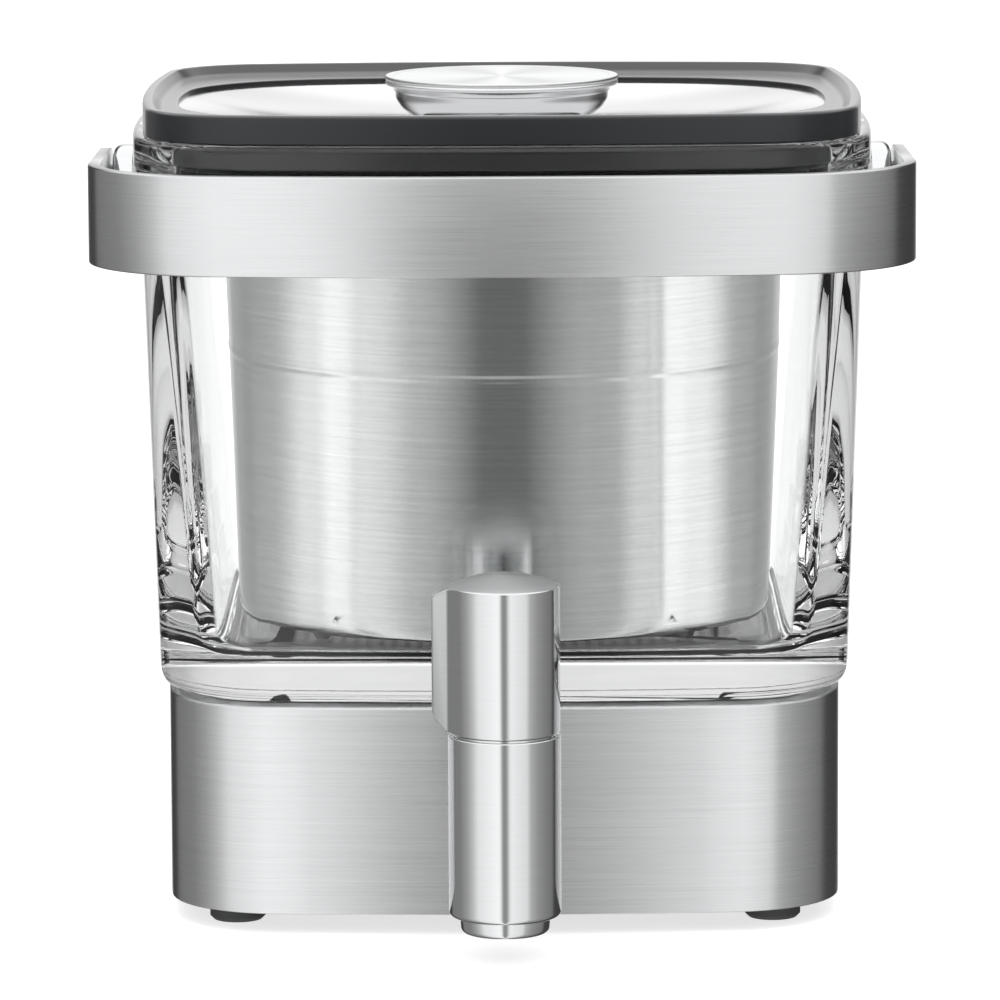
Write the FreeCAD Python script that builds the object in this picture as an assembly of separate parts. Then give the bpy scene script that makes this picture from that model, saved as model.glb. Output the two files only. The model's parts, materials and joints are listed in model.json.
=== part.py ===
import FreeCAD, Part
import math
import os

# Cold brew coffee maker: a thick glass jar on a steel base, with a tap, a swinging carry handle,
# a lift-out steeper and a lift-off lid.
# Millimetres.  +Z is up and the tap faces -Y.  Everything is drawn about the upright axis of the
# jar, with the table at Z = 0, and is moved along Y on export so that the origin is the middle
# of the whole object's footprint.

# ---- base -----------------------------------------------------------------------------------
foot_height = 5.2
foot_radius = 7.45
foot_edge = 1.0              # bevel of the foot's lower edge
foot_stem_radius = 3.5
foot_inset_x = 19.5          # skirt side to foot centre
foot_inset_y = 23.4          # skirt front to foot centre

skirt_inset_x = 2.7          # jar's foot to the skirt, at each side
skirt_inset_y = 1.85         # jar's foot to the skirt, front and back
skirt_corner = 30.0
skirt_front_bow = 750.0
skirt_side_bow = 800.0
skirt_height = 55.9
skirt_sheet = 1.0
skirt_return = 5.0           # turned-in flange at the top of the skirt

base_fit = 0.1               # clearance between the mouldings and the skirt
base_plate_thick = 3.0
frame_wall = 2.0
deck_thick = 3.0
rib_thick = 1.8
rib_height = 14.0
rib_spacing = 36.0
screw_inset_x = 32.0         # skirt side to screw
screw_inset_y = 24.0         # skirt front to screw
screw_radius = 1.5
screw_head_radius = 3.0
screw_head_height = 2.0
screw_length = 16.0
screw_boss_radius = 4.5

# ---- glass jar ------------------------------------------------------------------------------
seat_rise = 0.8              # how far the seat ring stands above the skirt
seat_width = 9.0
seat_gap = 0.3               # seat ring to the skirt's turned-in flange
jar_width = 187.6            # at the bottom
jar_depth = 167.5            # at the bottom
jar_corner = 33.0            # at the bottom
jar_front_bow = 700.0
jar_side_bow = 600.0
jar_draft = 1.8              # degrees, each side
jar_height = 147.7
jar_floor = 11.6
jar_foot_round = 5.0
jar_side_wall = 13.0         # at the jar's floor
jar_front_wall = 6.2         # at the jar's floor
cavity_corner = 16.0         # at the jar's floor
mouth_side_wall = 6.4        # at the jar's top
mouth_front_wall = 3.9       # at the jar's top
mouth_corner = 26.0          # at the jar's top
cavity_foot_bevel = 5.0
flange_height = 9.0          # thickened rim of the jar
flange_overhang = 1.5
flange_bevel = 1.6

# ---- neck collar and pivots -----------------------------------------------------------------
liner_thick = 0.6
glass_gap = 0.1              # glass to whatever is strapped round it
collar_thick = 1.1
collar_height = 18.0
collar_drop = 1.4            # below the jar's rim flange
pivot_drop = 0.5             # pivot axis below the middle of the collar
boss_radius = 13.0
boss_length = 5.9            # from the side of the jar's flange
boss_bevel = 2.4
boss_spigot_radius = 9.0
boss_gap = 0.2               # boss to the jar's flange, sideways
pin_radius = 4.0
pin_running = 0.05           # radial clearance of the pin in its bush
bush_wall = 1.5
bush_depth = 2.3             # how far the bush goes into the handle's arm
pivot_washer_thick = 0.5
pivot_washer_radius = 7.5
pivot_washer_gap = 0.2

# ---- carry handle ---------------------------------------------------------------------------
handle_stand_off = 6.1       # jar's flange to the bar's inner face
handle_height = 26.2
handle_sheet = 3.3
handle_corner = 40.0
handle_bow = 600.0
arm_end_radius = 12.0
arm_taper_start = 60.0       # the arms narrow from here to the pivot

# ---- steeper --------------------------------------------------------------------------------
steeper_side_gap = 2.6       # to the jar's inner front wall, at the floor
steeper_sheet = 0.8
steeper_floor_gap = 3.3      # under the steeper, held by its pressed feet
steeper_mouth_drop = 8.3     # below the top of the jar
steeper_foot_round = 3.8     # the foot turns under in two straight steps of this size
steeper_flange = 6.0         # turned in under the screen
steeper_bead_share = 0.566   # of the steeper's height
steeper_bead_radius = 0.9
rim_bead = 1.4
dimple_angle = 36.4          # degrees either side of the front and of the back
dimple_height = 3.4
dimple_radius = 1.5
screen_thick = 0.8
screen_pitch = 11.4
screen_hole = 7.0            # across the flats
screen_rings = 5
screen_clear = 0.2           # screen to the steeper's wall
ring_height = 1.6
ring_width = 3.0
pressed_foot_radius = 3.0
steeper_foot_gap = 0.1       # under the feet, at rest
pressed_foot_count = 4
grip_width = 12.0
grip_sheet = 1.2
grip_below_rim = 9.6
grip_drop = 14.0
grip_bend = 4.0
grip_clear = 0.05            # grip to the steeper's wall
rivet_radius = 1.6
rivet_head_radius = 2.8
rivet_head_height = 0.8

# ---- lid ------------------------------------------------------------------------------------
lid_inset_x = 2.7            # jar's flange to the lid, at each side
lid_inset_y = 1.6            # jar's flange to the lid, front and back
lid_corner = 28.0
lid_front_bow = 600.0
lid_side_bow = 600.0
lid_gap = 0.3                # lid to the top of the jar
lid_height = 7.8
lid_edge = 1.1
lip_width = 2.6              # raised lip round the lid
opening_inset_x = 9.3        # lid's side to the opening
opening_inset_y = 21.5       # lid's front and back to the opening
opening_corner = 44.0
opening_front_bow = 320.0
opening_side_bow = 220.0
opening_drop = 2.7           # lip top to the satin surface inside it
skin_thick = 1.0             # edge of the opening
shell_wall = 4.0
web_thick = 1.6
plug_gap = 2.2               # plug ring to the jar's mouth, filled by the gasket
plug_wall = 1.6
plug_depth = 9.6
gasket_clear = 0.3
gasket_stretch = 0.05        # round the plug ring
gasket_height = 4.0
gasket_drop = 2.6
pan_sheet = 0.8
pan_rim = 2.4
pan_depth = 7.2
pan_run = 30.0               # how far in the pan keeps falling
pan_steps = 3
cover_thick = 1.4
cover_gap = 0.2
knob_radius = 31.7
knob_disc_height = 2.5
knob_edge = 0.6
knob_rise = 3.5              # knob's top above the lid's lip
knob_groove = 0.35
bowl_radius = 29.6
bowl_waist_radius = 25.1
bowl_shoulder = 2.7          # straight wall under the disc
bowl_waist = 9.0             # below the disc
bowl_foot_radius = 19.5
bowl_wall = 2.0
stud_radius = 4.0
knob_screw_radius = 2.0
knob_screw_head = 4.0
knob_screw_head_height = 1.4
knob_screw_bite = 1.0        # into the disc

# ---- tap ------------------------------------------------------------------------------------
tap_stand_off = 30.1         # skirt to tap axis
tap_body_radius = 14.65
tap_body_foot = 11.5
tap_body_top = 59.3
tap_body_bevel = 1.2
plug_radius = 7.95
plug_running = 0.05          # radial clearance of the valve plug in its bore
plug_foot = 24.0
plug_seat_gap = 0.3
port_radius = 4.0
inlet_height = 36.0
seal_depth = 1.6             # section of the plug's seal rings
seal_height = 2.0
seal_heights = (28.4, 47.0)
nozzle_radius = 11.8
nozzle_foot_radius = 10.2
nozzle_foot = 7.1
nozzle_bevel = 1.3
nozzle_bore = 5.0
nozzle_spigot_radius = 8.0
nozzle_spigot = 7.0
tap_ring_radius = 13.7
tap_ring_thick = 0.5
handle_clear = 0.2
tap_handle_radius = 14.5
fin_reach = 18.8             # tap axis to the tip of the fin
fin_tip_radius = 3.5
fin_lower_round = 6.5
dome_radius = 34.0
tap_handle_height = 41.5
stem_radius = 5.0
stem_clear = 0.02
stem_length = 26.0
grub_radius = 2.0
grub_height = 75.0
grub_length = 7.0

# ---- plumbing between jar and tap -----------------------------------------------------------
shank_bore = 4.5
shank_spigot_radius = 8.0
shank_neck_radius = 9.0
shank_flange_radius = 13.0
shank_flange_thick = 2.5
shank_end_radius = 7.0
shank_hole_clear = 0.1
shank_gasket_thick = 0.8
shank_washer_thick = 1.0
hex_nut_flats = 23.0
hex_nut_height = 5.0
nut_clearance = 1.5          # round a nut, in the moulding
thread_clear = 0.05          # radial, nut to thread
washer_clear = 0.1           # flat washer to the bowed skirt
drain_inset = 31.9           # skirt's front to the drain
drain_tube_radius = 7.0
drain_flange_radius = 11.5
drain_flange_thick = 1.4
drain_gasket_thick = 0.7
drain_hole_clear = 0.4
drain_tube_below = 10.0      # below the glass
elbow_wall = 1.5
elbow_overlap = 6.0          # how far the elbow slips over the shank

# ---- what follows from the sizes above, from the table up ------------------------------------
draft_slope = math.tan(math.radians(jar_draft))
skirt_width = jar_width - 2 * skirt_inset_x
skirt_depth = jar_depth - 2 * skirt_inset_y
skirt_front = -skirt_depth / 2
skirt_top = foot_height + skirt_height
deck_top = skirt_top - skirt_sheet
jar_bottom = skirt_top + seat_rise
jar_top = jar_bottom + jar_height
floor_top = jar_bottom + jar_floor
flange_bottom = jar_top - flange_height
flange_width = jar_width + 2 * ((flange_bottom - jar_bottom) * draft_slope + flange_overhang)
flange_depth = jar_depth + 2 * ((flange_bottom - jar_bottom) * draft_slope + flange_overhang)
collar_top = flange_bottom - collar_drop
collar_bottom = collar_top - collar_height
collar_out = glass_gap + liner_thick + collar_thick
pivot_height = (collar_bottom + collar_top) / 2 - pivot_drop
boss_inner = flange_width / 2 + boss_gap
boss_outer = boss_inner + boss_length
arm_inner = boss_outer + pivot_washer_thick
handle_width = 2 * (arm_inner + handle_sheet)
handle_reach = flange_depth / 2 + handle_stand_off + handle_sheet
steeper_radius = jar_depth / 2 + jar_floor * draft_slope - jar_front_wall - steeper_side_gap
steeper_bottom = floor_top + steeper_floor_gap
steeper_top = jar_top - steeper_mouth_drop
lid_width = flange_width - 2 * lid_inset_x
lid_depth = flange_depth - 2 * lid_inset_y
lid_bottom = jar_top + lid_gap
lid_top = lid_bottom + lid_height
opening_width = lid_width - 2 * opening_inset_x
opening_depth = lid_depth - 2 * opening_inset_y
opening_top = lid_top - opening_drop
skin_bottom = opening_top - skin_thick
pan_bottom = skin_bottom - pan_depth
plug_bottom = lid_bottom - plug_depth
knob_top_height = lid_top + knob_rise
tap_reach = skirt_depth / 2 + tap_stand_off
tap_handle_bottom = tap_body_top + tap_ring_thick + handle_clear
dome_top = tap_handle_bottom + tap_handle_height
drain_reach = skirt_depth / 2 - drain_inset

# The footprint runs from the front of the tap to the back of the neck collar.
collar_back = jar_depth / 2 + (collar_top - jar_bottom) * draft_slope + collar_out
centre_shift = (tap_reach + tap_body_radius - collar_back) / 2

UP = FreeCAD.Vector(0, 0, 1)
RIGHT = FreeCAD.Vector(1, 0, 0)
BACK = FreeCAD.Vector(0, 1, 0)
ORIGIN = FreeCAD.Vector(0, 0, 0)


def at(x, y, z):
    """A point."""
    return FreeCAD.Vector(x, y, z)


def circle_crossing(centre_a, radius_a, centre_b, radius_b):
    """The crossing of two circles in a level plane that lies furthest along +X and +Y."""
    gap = centre_b - centre_a
    distance = gap.Length
    along = (radius_a ** 2 - radius_b ** 2 + distance ** 2) / (2 * distance)
    across = math.sqrt(radius_a ** 2 - along ** 2)
    unit = gap / distance
    middle = centre_a + unit * along
    sideways = at(-unit.y, unit.x, 0) * across
    return max(middle + sideways, middle - sideways, key=lambda p: p.x + p.y)


class Plan:
    """A rectangle seen from above whose sides bow outwards and meet in round corners."""

    def __init__(self, width, depth, corner, front_bow, side_bow):
        self.width = width
        self.depth = depth
        self.corner = corner
        self.front_bow = front_bow
        self.side_bow = side_bow

    def towards(self, other, share):
        """The plan part of the way from this one to another."""
        def part_way(near, far):
            return near + (far - near) * share

        return Plan(part_way(self.width, other.width), part_way(self.depth, other.depth),
                    part_way(self.corner, other.corner), part_way(self.front_bow, other.front_bow),
                    part_way(self.side_bow, other.side_bow))

    def inset(self, distance):
        """The parallel plan this far inside, or outside where the distance is negative."""
        return Plan(self.width - 2 * distance, self.depth - 2 * distance, self.corner - distance,
                    self.front_bow - distance, self.side_bow - distance)

    def wire(self, z):
        """The closed outline at a height: four long arcs and four corner arcs."""
        front_centre = at(0, self.depth / 2 - self.front_bow, 0)
        side_centre = at(self.width / 2 - self.side_bow, 0, 0)
        front_reach = self.front_bow - self.corner
        side_reach = self.side_bow - self.corner
        corner_centre = circle_crossing(front_centre, front_reach, side_centre, side_reach)
        meets_front = front_centre + (corner_centre - front_centre) * (self.front_bow / front_reach)
        meets_side = side_centre + (corner_centre - side_centre) * (self.side_bow / side_reach)
        outward = (meets_front - corner_centre) + (meets_side - corner_centre)
        corner_middle = corner_centre + outward * (self.corner / outward.Length)

        def turned(point, sign_x, sign_y):
            return at(sign_x * point.x, sign_y * point.y, z)

        side_middle = at(self.width / 2, 0, 0)
        back_middle = at(0, self.depth / 2, 0)
        stops = [
            (turned(meets_side, 1, -1), turned(side_middle, 1, 1)),
            (turned(meets_side, 1, 1), turned(corner_middle, 1, 1)),
            (turned(meets_front, 1, 1), turned(back_middle, 1, 1)),
            (turned(meets_front, -1, 1), turned(corner_middle, -1, 1)),
            (turned(meets_side, -1, 1), turned(side_middle, -1, 1)),
            (turned(meets_side, -1, -1), turned(corner_middle, -1, -1)),
            (turned(meets_front, -1, -1), turned(back_middle, 1, -1)),
            (turned(meets_front, 1, -1), turned(corner_middle, 1, -1)),
        ]
        edges = []
        for index, (start, middle) in enumerate(stops):
            end = stops[(index + 1) % len(stops)][0]
            edges.append(Part.Arc(start, middle, end).toShape())
        return Part.Wire(edges)

    def prism(self, low, high):
        """The upright solid of this plan between two heights."""
        return Part.Face(self.wire(low)).extrude(UP * (high - low))


def stacked(plans_and_heights):
    """The solid that runs straight from each plan to the next; the plans are parallel, so that
    each of its sides is a true cone about the centre of its arc."""
    wires = [plan.wire(height) for plan, height in plans_and_heights]
    faces = [Part.Face(wires[0]).reversed(), Part.Face(wires[-1])]
    for lower, upper in zip(wires, wires[1:]):
        for edge, edge_above in zip(lower.Edges, upper.Edges):
            centre = edge.Curve.Center
            first = edge.Vertexes[0].Point - centre
            last = edge.Vertexes[-1].Point - centre
            sweep = math.degrees(math.atan2(first.cross(last).z, first.dot(last)))
            slope = Part.makeLine(edge.Vertexes[0].Point, edge_above.Vertexes[0].Point)
            faces.append(slope.revolve(centre, UP, sweep))
    shell = Part.Shell(faces)
    shell.sewShape()
    solid = Part.makeSolid(shell)
    solid.fix(1e-6, 1e-6, 1e-6)
    return solid


def between(plan_low, low, plan_high, high):
    """The solid that runs straight from one plan to a parallel one."""
    return stacked([(plan_low, low), (plan_high, high)])


def bevelled(plan, low, high, low_bevel, high_bevel):
    """The upright solid of a plan with its two rims bevelled at 45 degrees."""
    levels = [(plan, low)]
    if low_bevel:
        levels = [(plan.inset(low_bevel), low), (plan, low + low_bevel)]
    levels += [(plan, high - high_bevel), (plan.inset(high_bevel), high)]
    return stacked(levels)


def rod(radius, start, end):
    """A round rod from one point to another."""
    run = end - start
    return Part.makeCylinder(radius, run.Length, start, run)


def along_pipe(radius, start_y, end_y):
    """A round rod along the level pipe that feeds the tap."""
    return rod(radius, at(0, start_y, inlet_height), at(0, end_y, inlet_height))


def tube(outer, inner, start, end):
    """A round tube from one point to another."""
    return rod(outer, start, end).cut(rod(inner, start, end))


def lathe(points, centre=ORIGIN):
    """A solid turned about an upright axis from (radius, height) points."""
    corners = [at(centre.x + radius, centre.y, centre.z + height) for radius, height in points]
    face = Part.Face(Part.makePolygon(corners + corners[:1]))
    return face.revolve(centre, UP, 360)


def fused(shapes):
    """One solid made of several that touch or overlap."""
    return shapes[0].fuse(shapes[1:]).removeSplitter()


def both_sides(shape):
    """A piece and its mirror image across the middle of the jar."""
    return [shape, shape.mirror(ORIGIN, RIGHT)]


def level_edges(shape, height):
    """The edges of a shape that lie at a height."""
    return [edge for edge in shape.Edges
            if abs(edge.BoundBox.ZMin - height) < 1e-4 and abs(edge.BoundBox.ZMax - height) < 1e-4]


def hexagon(flats, x, y, z):
    """A hexagonal face, point towards +Y."""
    reach = flats / math.sqrt(3)
    corners = [at(x + reach * math.sin(math.radians(60 * k)), y + reach * math.cos(math.radians(60 * k)), z)
               for k in range(7)]
    return Part.Face(Part.makePolygon(corners))


def four_places(x, y):
    """The four mirrored places of a point."""
    return [(sx * x, sy * y) for sx in (-1, 1) for sy in (-1, 1)]


# ---- plans ----------------------------------------------------------------------------------
skirt_plan = Plan(skirt_width, skirt_depth, skirt_corner, skirt_front_bow, skirt_side_bow)
jar_plan = Plan(jar_width, jar_depth, jar_corner, jar_front_bow, jar_side_bow)
lid_plan = Plan(lid_width, lid_depth, lid_corner, lid_front_bow, lid_side_bow)
opening_plan = Plan(opening_width, opening_depth, opening_corner, opening_front_bow, opening_side_bow)
foot_x = skirt_width / 2 - foot_inset_x
foot_y = skirt_depth / 2 - foot_inset_y
screw_x = skirt_width / 2 - screw_inset_x
screw_y = skirt_depth / 2 - screw_inset_y


def jar_outside(z):
    """The plan of the jar's outer surface at a height."""
    return jar_plan.inset(-(z - jar_bottom) * draft_slope)


def jar_inside(z):
    """The plan of the jar's inner surface at a height."""
    return cavity_plan.towards(mouth_plan, (z - floor_top) / (jar_top - floor_top))


cavity_plan = Plan(jar_outside(floor_top).width - 2 * jar_side_wall,
                   jar_outside(floor_top).depth - 2 * jar_front_wall,
                   cavity_corner, jar_front_bow, jar_side_bow)
mouth_plan = Plan(jar_outside(jar_top).width - 2 * mouth_side_wall,
                  jar_outside(jar_top).depth - 2 * mouth_front_wall,
                  mouth_corner, jar_front_bow, jar_side_bow)
plug_plan = jar_inside(plug_bottom).inset(plug_gap)
flange_plan = jar_outside(flange_bottom).inset(-flange_overhang)
neck_half_width = jar_outside(pivot_height).width / 2


# ---- base -----------------------------------------------------------------------------------
def base_skirt():
    """Steel sheet wrapped round the base, turned in at the top, with the hole for the tap."""
    outside = bevelled(skirt_plan, foot_height, skirt_top, 0, skirt_sheet)
    hollow = skirt_plan.inset(skirt_sheet).prism(foot_height, deck_top)
    mouth = skirt_plan.inset(skirt_sheet + skirt_return).prism(deck_top, skirt_top)
    hole = along_pipe(shank_neck_radius + shank_hole_clear, skirt_front - 5, 0)
    return outside.cut([hollow, mouth, hole])


def base_frame():
    """Moulded frame inside the skirt: a deck under the jar, a wall, ribs and screw bosses."""
    plan = skirt_plan.inset(skirt_sheet + base_fit)
    low = foot_height + base_plate_thick
    outside = plan.prism(low, deck_top)
    hollow = plan.inset(frame_wall).prism(low, deck_top - deck_thick)
    shell = outside.cut(hollow)
    rib_low = deck_top - deck_thick - rib_height
    inside = plan.inset(frame_wall / 2)
    ribs = []
    count = int(skirt_width / 2 / rib_spacing)
    for step in range(-count, count + 1):
        x = step * rib_spacing
        corner = at(x - rib_thick / 2, -skirt_depth / 2, rib_low)
        ribs.append(Part.makeBox(rib_thick, skirt_depth, rib_height, corner))
    for step in (-1, 0, 1):
        y = step * rib_spacing
        corner = at(-skirt_width / 2, y - rib_thick / 2, rib_low)
        ribs.append(Part.makeBox(skirt_width, rib_thick, rib_height, corner))
    grid = ribs[0].fuse(ribs[1:]).common(inside.prism(rib_low, deck_top - deck_thick))
    places = four_places(screw_x, screw_y)
    bosses = [rod(screw_boss_radius, at(x, y, low), at(x, y, deck_top - 1)) for x, y in places]
    body = fused([shell, grid] + bosses)
    screw_end = foot_height + screw_length
    pilots = [rod(screw_radius, at(x, y, low), at(x, y, screw_end)) for x, y in places]
    nut_room = hex_nut_flats / math.sqrt(3) + nut_clearance
    front_room = along_pipe(nut_room, skirt_front - 1, -drain_reach)
    drain_room = rod(nut_room, at(0, -drain_reach, rib_low - 1), at(0, -drain_reach, deck_top + 1))
    return body.cut(pilots + [front_room, drain_room])


def base_plate():
    """Moulded cover that closes the base from below and carries the feet."""
    low = foot_height
    plate = skirt_plan.inset(skirt_sheet + base_fit).prism(low, low + base_plate_thick)
    cuts = []
    for x, y in four_places(foot_x, foot_y):
        cuts.append(rod(foot_stem_radius, at(x, y, low), at(x, y, low + base_plate_thick)))
    for x, y in four_places(screw_x, screw_y):
        cuts.append(rod(screw_radius + 0.2, at(x, y, low), at(x, y, low + base_plate_thick)))
        cuts.append(rod(screw_head_radius + 0.2, at(x, y, low), at(x, y, low + screw_head_height)))
    return plate.cut(cuts)


def base_feet():
    """Four rubber feet, each with a stem through the base plate."""
    feet = []
    for x, y in four_places(foot_x, foot_y):
        profile = [
            (0, 0),
            (foot_radius - foot_edge, 0),
            (foot_radius, foot_edge),
            (foot_radius, foot_height),
            (foot_stem_radius, foot_height),
            (foot_stem_radius, foot_height + base_plate_thick),
            (0, foot_height + base_plate_thick),
        ]
        feet.append(lathe(profile, at(x, y, 0)))
    return Part.makeCompound(feet)


def base_screws():
    """Four screws that hold the base plate to the frame."""
    screws = []
    head_top = foot_height + screw_head_height
    screw_end = foot_height + screw_length
    for x, y in four_places(screw_x, screw_y):
        head = rod(screw_head_radius, at(x, y, foot_height + 0.4), at(x, y, head_top))
        shank = rod(screw_radius, at(x, y, head_top), at(x, y, screw_end))
        screws.append(fused([head, shank]))
    return Part.makeCompound(screws)


def jar_seat():
    """Soft ring on the deck that the jar stands on."""
    outside = skirt_plan.inset(skirt_sheet + skirt_return + seat_gap)
    ring = outside.prism(deck_top, jar_bottom)
    return ring.cut(outside.inset(seat_width).prism(deck_top, jar_bottom))


# ---- jar ------------------------------------------------------------------------------------
def glass_jar():
    """Thick pressed-glass jar: tapered body, rim flange, heavy floor and a drain hole."""
    body = between(jar_plan, jar_bottom, jar_outside(flange_bottom), flange_bottom)
    body = body.makeFillet(jar_foot_round, level_edges(body, jar_bottom))
    rim = bevelled(flange_plan, flange_bottom, jar_top, flange_bevel, flange_bevel)
    bevel_top = floor_top + cavity_foot_bevel
    hollow_foot = Part.makeLoft([
        jar_inside(floor_top).inset(cavity_foot_bevel).wire(floor_top),
        jar_inside(bevel_top).wire(bevel_top),
    ], True, True)
    hollow = Part.makeLoft([jar_inside(bevel_top).wire(bevel_top), mouth_plan.wire(jar_top)], True, True)
    drain = rod(drain_tube_radius + drain_hole_clear, at(0, -drain_reach, jar_bottom - 1),
                at(0, -drain_reach, floor_top + 1))
    return fused([body, rim]).cut([hollow_foot, hollow, drain])


def neck_band(inner, outer):
    """A closed band round the jar's neck, from one distance off the glass to another."""
    outside = between(jar_outside(collar_bottom).inset(-outer), collar_bottom,
                      jar_outside(collar_top).inset(-outer), collar_top)
    inside = between(jar_outside(collar_bottom).inset(-inner), collar_bottom,
                     jar_outside(collar_top).inset(-inner), collar_top)
    return outside.cut(inside)


def collar_liner():
    """Soft lining between the steel collar and the glass."""
    return neck_band(glass_gap, glass_gap + liner_thick)


def neck_collar():
    """Steel collar clamped round the jar under its flange; it carries the two pivots."""
    band = neck_band(glass_gap + liner_thick, collar_out)
    hole = rod(pin_radius, at(neck_half_width - 2, 0, pivot_height), at(boss_inner, 0, pivot_height))
    return band.cut(both_sides(hole))


def pivot_bosses():
    """Polished round bosses that stand the handle's arms off the jar."""
    start = at(boss_inner, 0, pivot_height)
    shoulder = at(boss_outer - boss_bevel, 0, pivot_height)
    drum = rod(boss_radius, start, shoulder)
    crown = Part.makeCone(boss_radius, boss_radius - boss_bevel, boss_bevel, shoulder, RIGHT)
    spigot = rod(boss_spigot_radius, at(neck_half_width, 0, pivot_height), start)
    neck = between(jar_outside(collar_bottom).inset(-collar_out), collar_bottom,
                   jar_outside(collar_top).inset(-collar_out), collar_top)
    bore = rod(pin_radius, at(neck_half_width - 1, 0, pivot_height), at(boss_outer + 1, 0, pivot_height))
    boss = fused([drum, crown, spigot.cut(neck)]).cut(bore)
    return Part.makeCompound(both_sides(boss))


def pivot_pins():
    """Pins set in the collar and the bosses, on which the handle turns."""
    start = at(neck_half_width + glass_gap + liner_thick + 0.1, 0, pivot_height)
    end = at(arm_inner + bush_depth - 0.3, 0, pivot_height)
    return Part.makeCompound(both_sides(rod(pin_radius, start, end)))


def pivot_washers():
    """Thin washers between bosses and arms."""
    washer = tube(pivot_washer_radius, pin_radius, at(boss_outer, 0, pivot_height),
                  at(arm_inner - pivot_washer_gap, 0, pivot_height))
    return Part.makeCompound(both_sides(washer))


# ---- carry handle ---------------------------------------------------------------------------
def handle_outline(inward):
    """The area inside the handle's outer face, or inside a line parallel to it."""
    half = handle_width / 2 - inward
    corner = handle_corner - inward
    bow = handle_bow - inward
    bow_centre = handle_bow - handle_reach
    corner_x = half - corner
    corner_y = bow_centre - math.sqrt((bow - corner) ** 2 - corner_x ** 2)
    meets = at(corner_x, corner_y - bow_centre, 0) * (bow / (bow - corner)) + at(0, bow_centre, 0)
    slant = (meets - at(corner_x, corner_y, 0)) + at(corner, 0, 0)
    middle = at(corner_x, corner_y, 0) + slant * (corner / slant.Length)
    back = arm_end_radius + inward

    def left(point):
        return at(-point.x, point.y, 0)

    edges = [
        Part.makeLine(at(half, back, 0), at(half, corner_y, 0)),
        Part.Arc(at(half, corner_y, 0), middle, meets).toShape(),
        Part.Arc(meets, at(0, bow_centre - bow, 0), left(meets)).toShape(),
        Part.Arc(left(meets), left(middle), at(-half, corner_y, 0)).toShape(),
        Part.makeLine(at(-half, corner_y, 0), at(-half, back, 0)),
        Part.makeLine(at(-half, back, 0), at(half, back, 0)),
    ]
    return Part.Face(Part.Wire(edges))


def arm_profile():
    """The handle seen from the side: a level bar, tapering arms and round ends at the pivots."""
    x = -handle_width / 2 - 1
    front = -handle_reach - 1
    half = handle_height / 2
    edges = [
        Part.makeLine(at(x, front, pivot_height + half), at(x, front, pivot_height - half)),
        Part.makeLine(at(x, front, pivot_height - half), at(x, -arm_taper_start, pivot_height - half)),
        Part.makeLine(at(x, -arm_taper_start, pivot_height - half), at(x, 0, pivot_height - arm_end_radius)),
        Part.Arc(at(x, 0, pivot_height - arm_end_radius), at(x, arm_end_radius, pivot_height),
                 at(x, 0, pivot_height + arm_end_radius)).toShape(),
        Part.makeLine(at(x, 0, pivot_height + arm_end_radius), at(x, -arm_taper_start, pivot_height + half)),
        Part.makeLine(at(x, -arm_taper_start, pivot_height + half), at(x, front, pivot_height + half)),
    ]
    return Part.Face(Part.Wire(edges)).extrude(RIGHT * (handle_width + 2))


def carry_handle():
    """One bent strip of steel: a bowed bar in front and two arms back to the pivots."""
    low = pivot_height - handle_height
    rise = UP * (2 * handle_height)
    outer = handle_outline(0).extrude(rise)
    inner = handle_outline(handle_sheet).extrude(rise)
    strip = outer.cut(inner)
    strip.translate(UP * low)
    strip = strip.common(arm_profile())
    bores = both_sides(rod(pin_radius + pin_running + bush_wall, at(arm_inner - 1, 0, pivot_height),
                           at(arm_inner + bush_depth, 0, pivot_height)))
    return strip.cut(bores)


def handle_bushes():
    """Plain bushes pressed into the arms."""
    inner = pin_radius + pin_running
    bush = tube(inner + bush_wall, inner, at(arm_inner, 0, pivot_height),
                at(arm_inner + bush_depth, 0, pivot_height))
    return Part.makeCompound(both_sides(bush))


# ---- steeper --------------------------------------------------------------------------------
def steeper_wall():
    """Drawn steel cylinder with a rolled rim, one bead, and dimples above its foot."""
    outer = steeper_radius
    inner = outer - steeper_sheet
    low = steeper_bottom
    turn = steeper_foot_round
    bead = low + steeper_bead_share * (steeper_top - low)
    rim_low = steeper_top - 2 * rim_bead
    profile = [
        (outer, low + turn),
        (outer, bead - steeper_bead_radius),
        (outer + steeper_bead_radius / 2, bead),
        (outer, bead + steeper_bead_radius),
        (outer, rim_low - rim_bead / 2),
        (outer + rim_bead, rim_low + rim_bead / 2),
        (outer + rim_bead, steeper_top - rim_bead / 2),
        (outer + rim_bead / 2, steeper_top),
        (inner, steeper_top),
        (inner, low + turn),
    ]
    wall = lathe(profile)
    dents = []
    for side in (90, 270):
        for turn_angle in (-dimple_angle, dimple_angle):
            angle = math.radians(side + turn_angle)
            face = at(math.cos(angle), math.sin(angle), 0)
            deep = face * (outer - steeper_sheet / 2) + UP * (low + turn + dimple_height)
            dents.append(Part.makeCone(dimple_radius / 2, dimple_radius, steeper_sheet, deep, face))
    rivets = rod(rivet_radius, at(-outer - 1, 0, rivet_level()), at(outer + 1, 0, rivet_level()))
    return wall.cut(dents + [rivets])


def steeper_foot():
    """Foot of the steeper: the wall turns under and ends in a flange for the screen."""
    outer = steeper_radius
    inner = outer - steeper_sheet
    low = steeper_bottom
    turn = steeper_foot_round
    first_step = turn * (1 - math.sqrt(0.5))
    flange_inner = outer - turn - steeper_flange
    return lathe([
        (flange_inner, low),
        (outer - turn, low),
        (outer - first_step, low + first_step),
        (outer, low + turn),
        (inner, low + turn),
        (inner - first_step, low + steeper_sheet + first_step),
        (outer - turn, low + steeper_sheet),
        (flange_inner, low + steeper_sheet),
    ])


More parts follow.
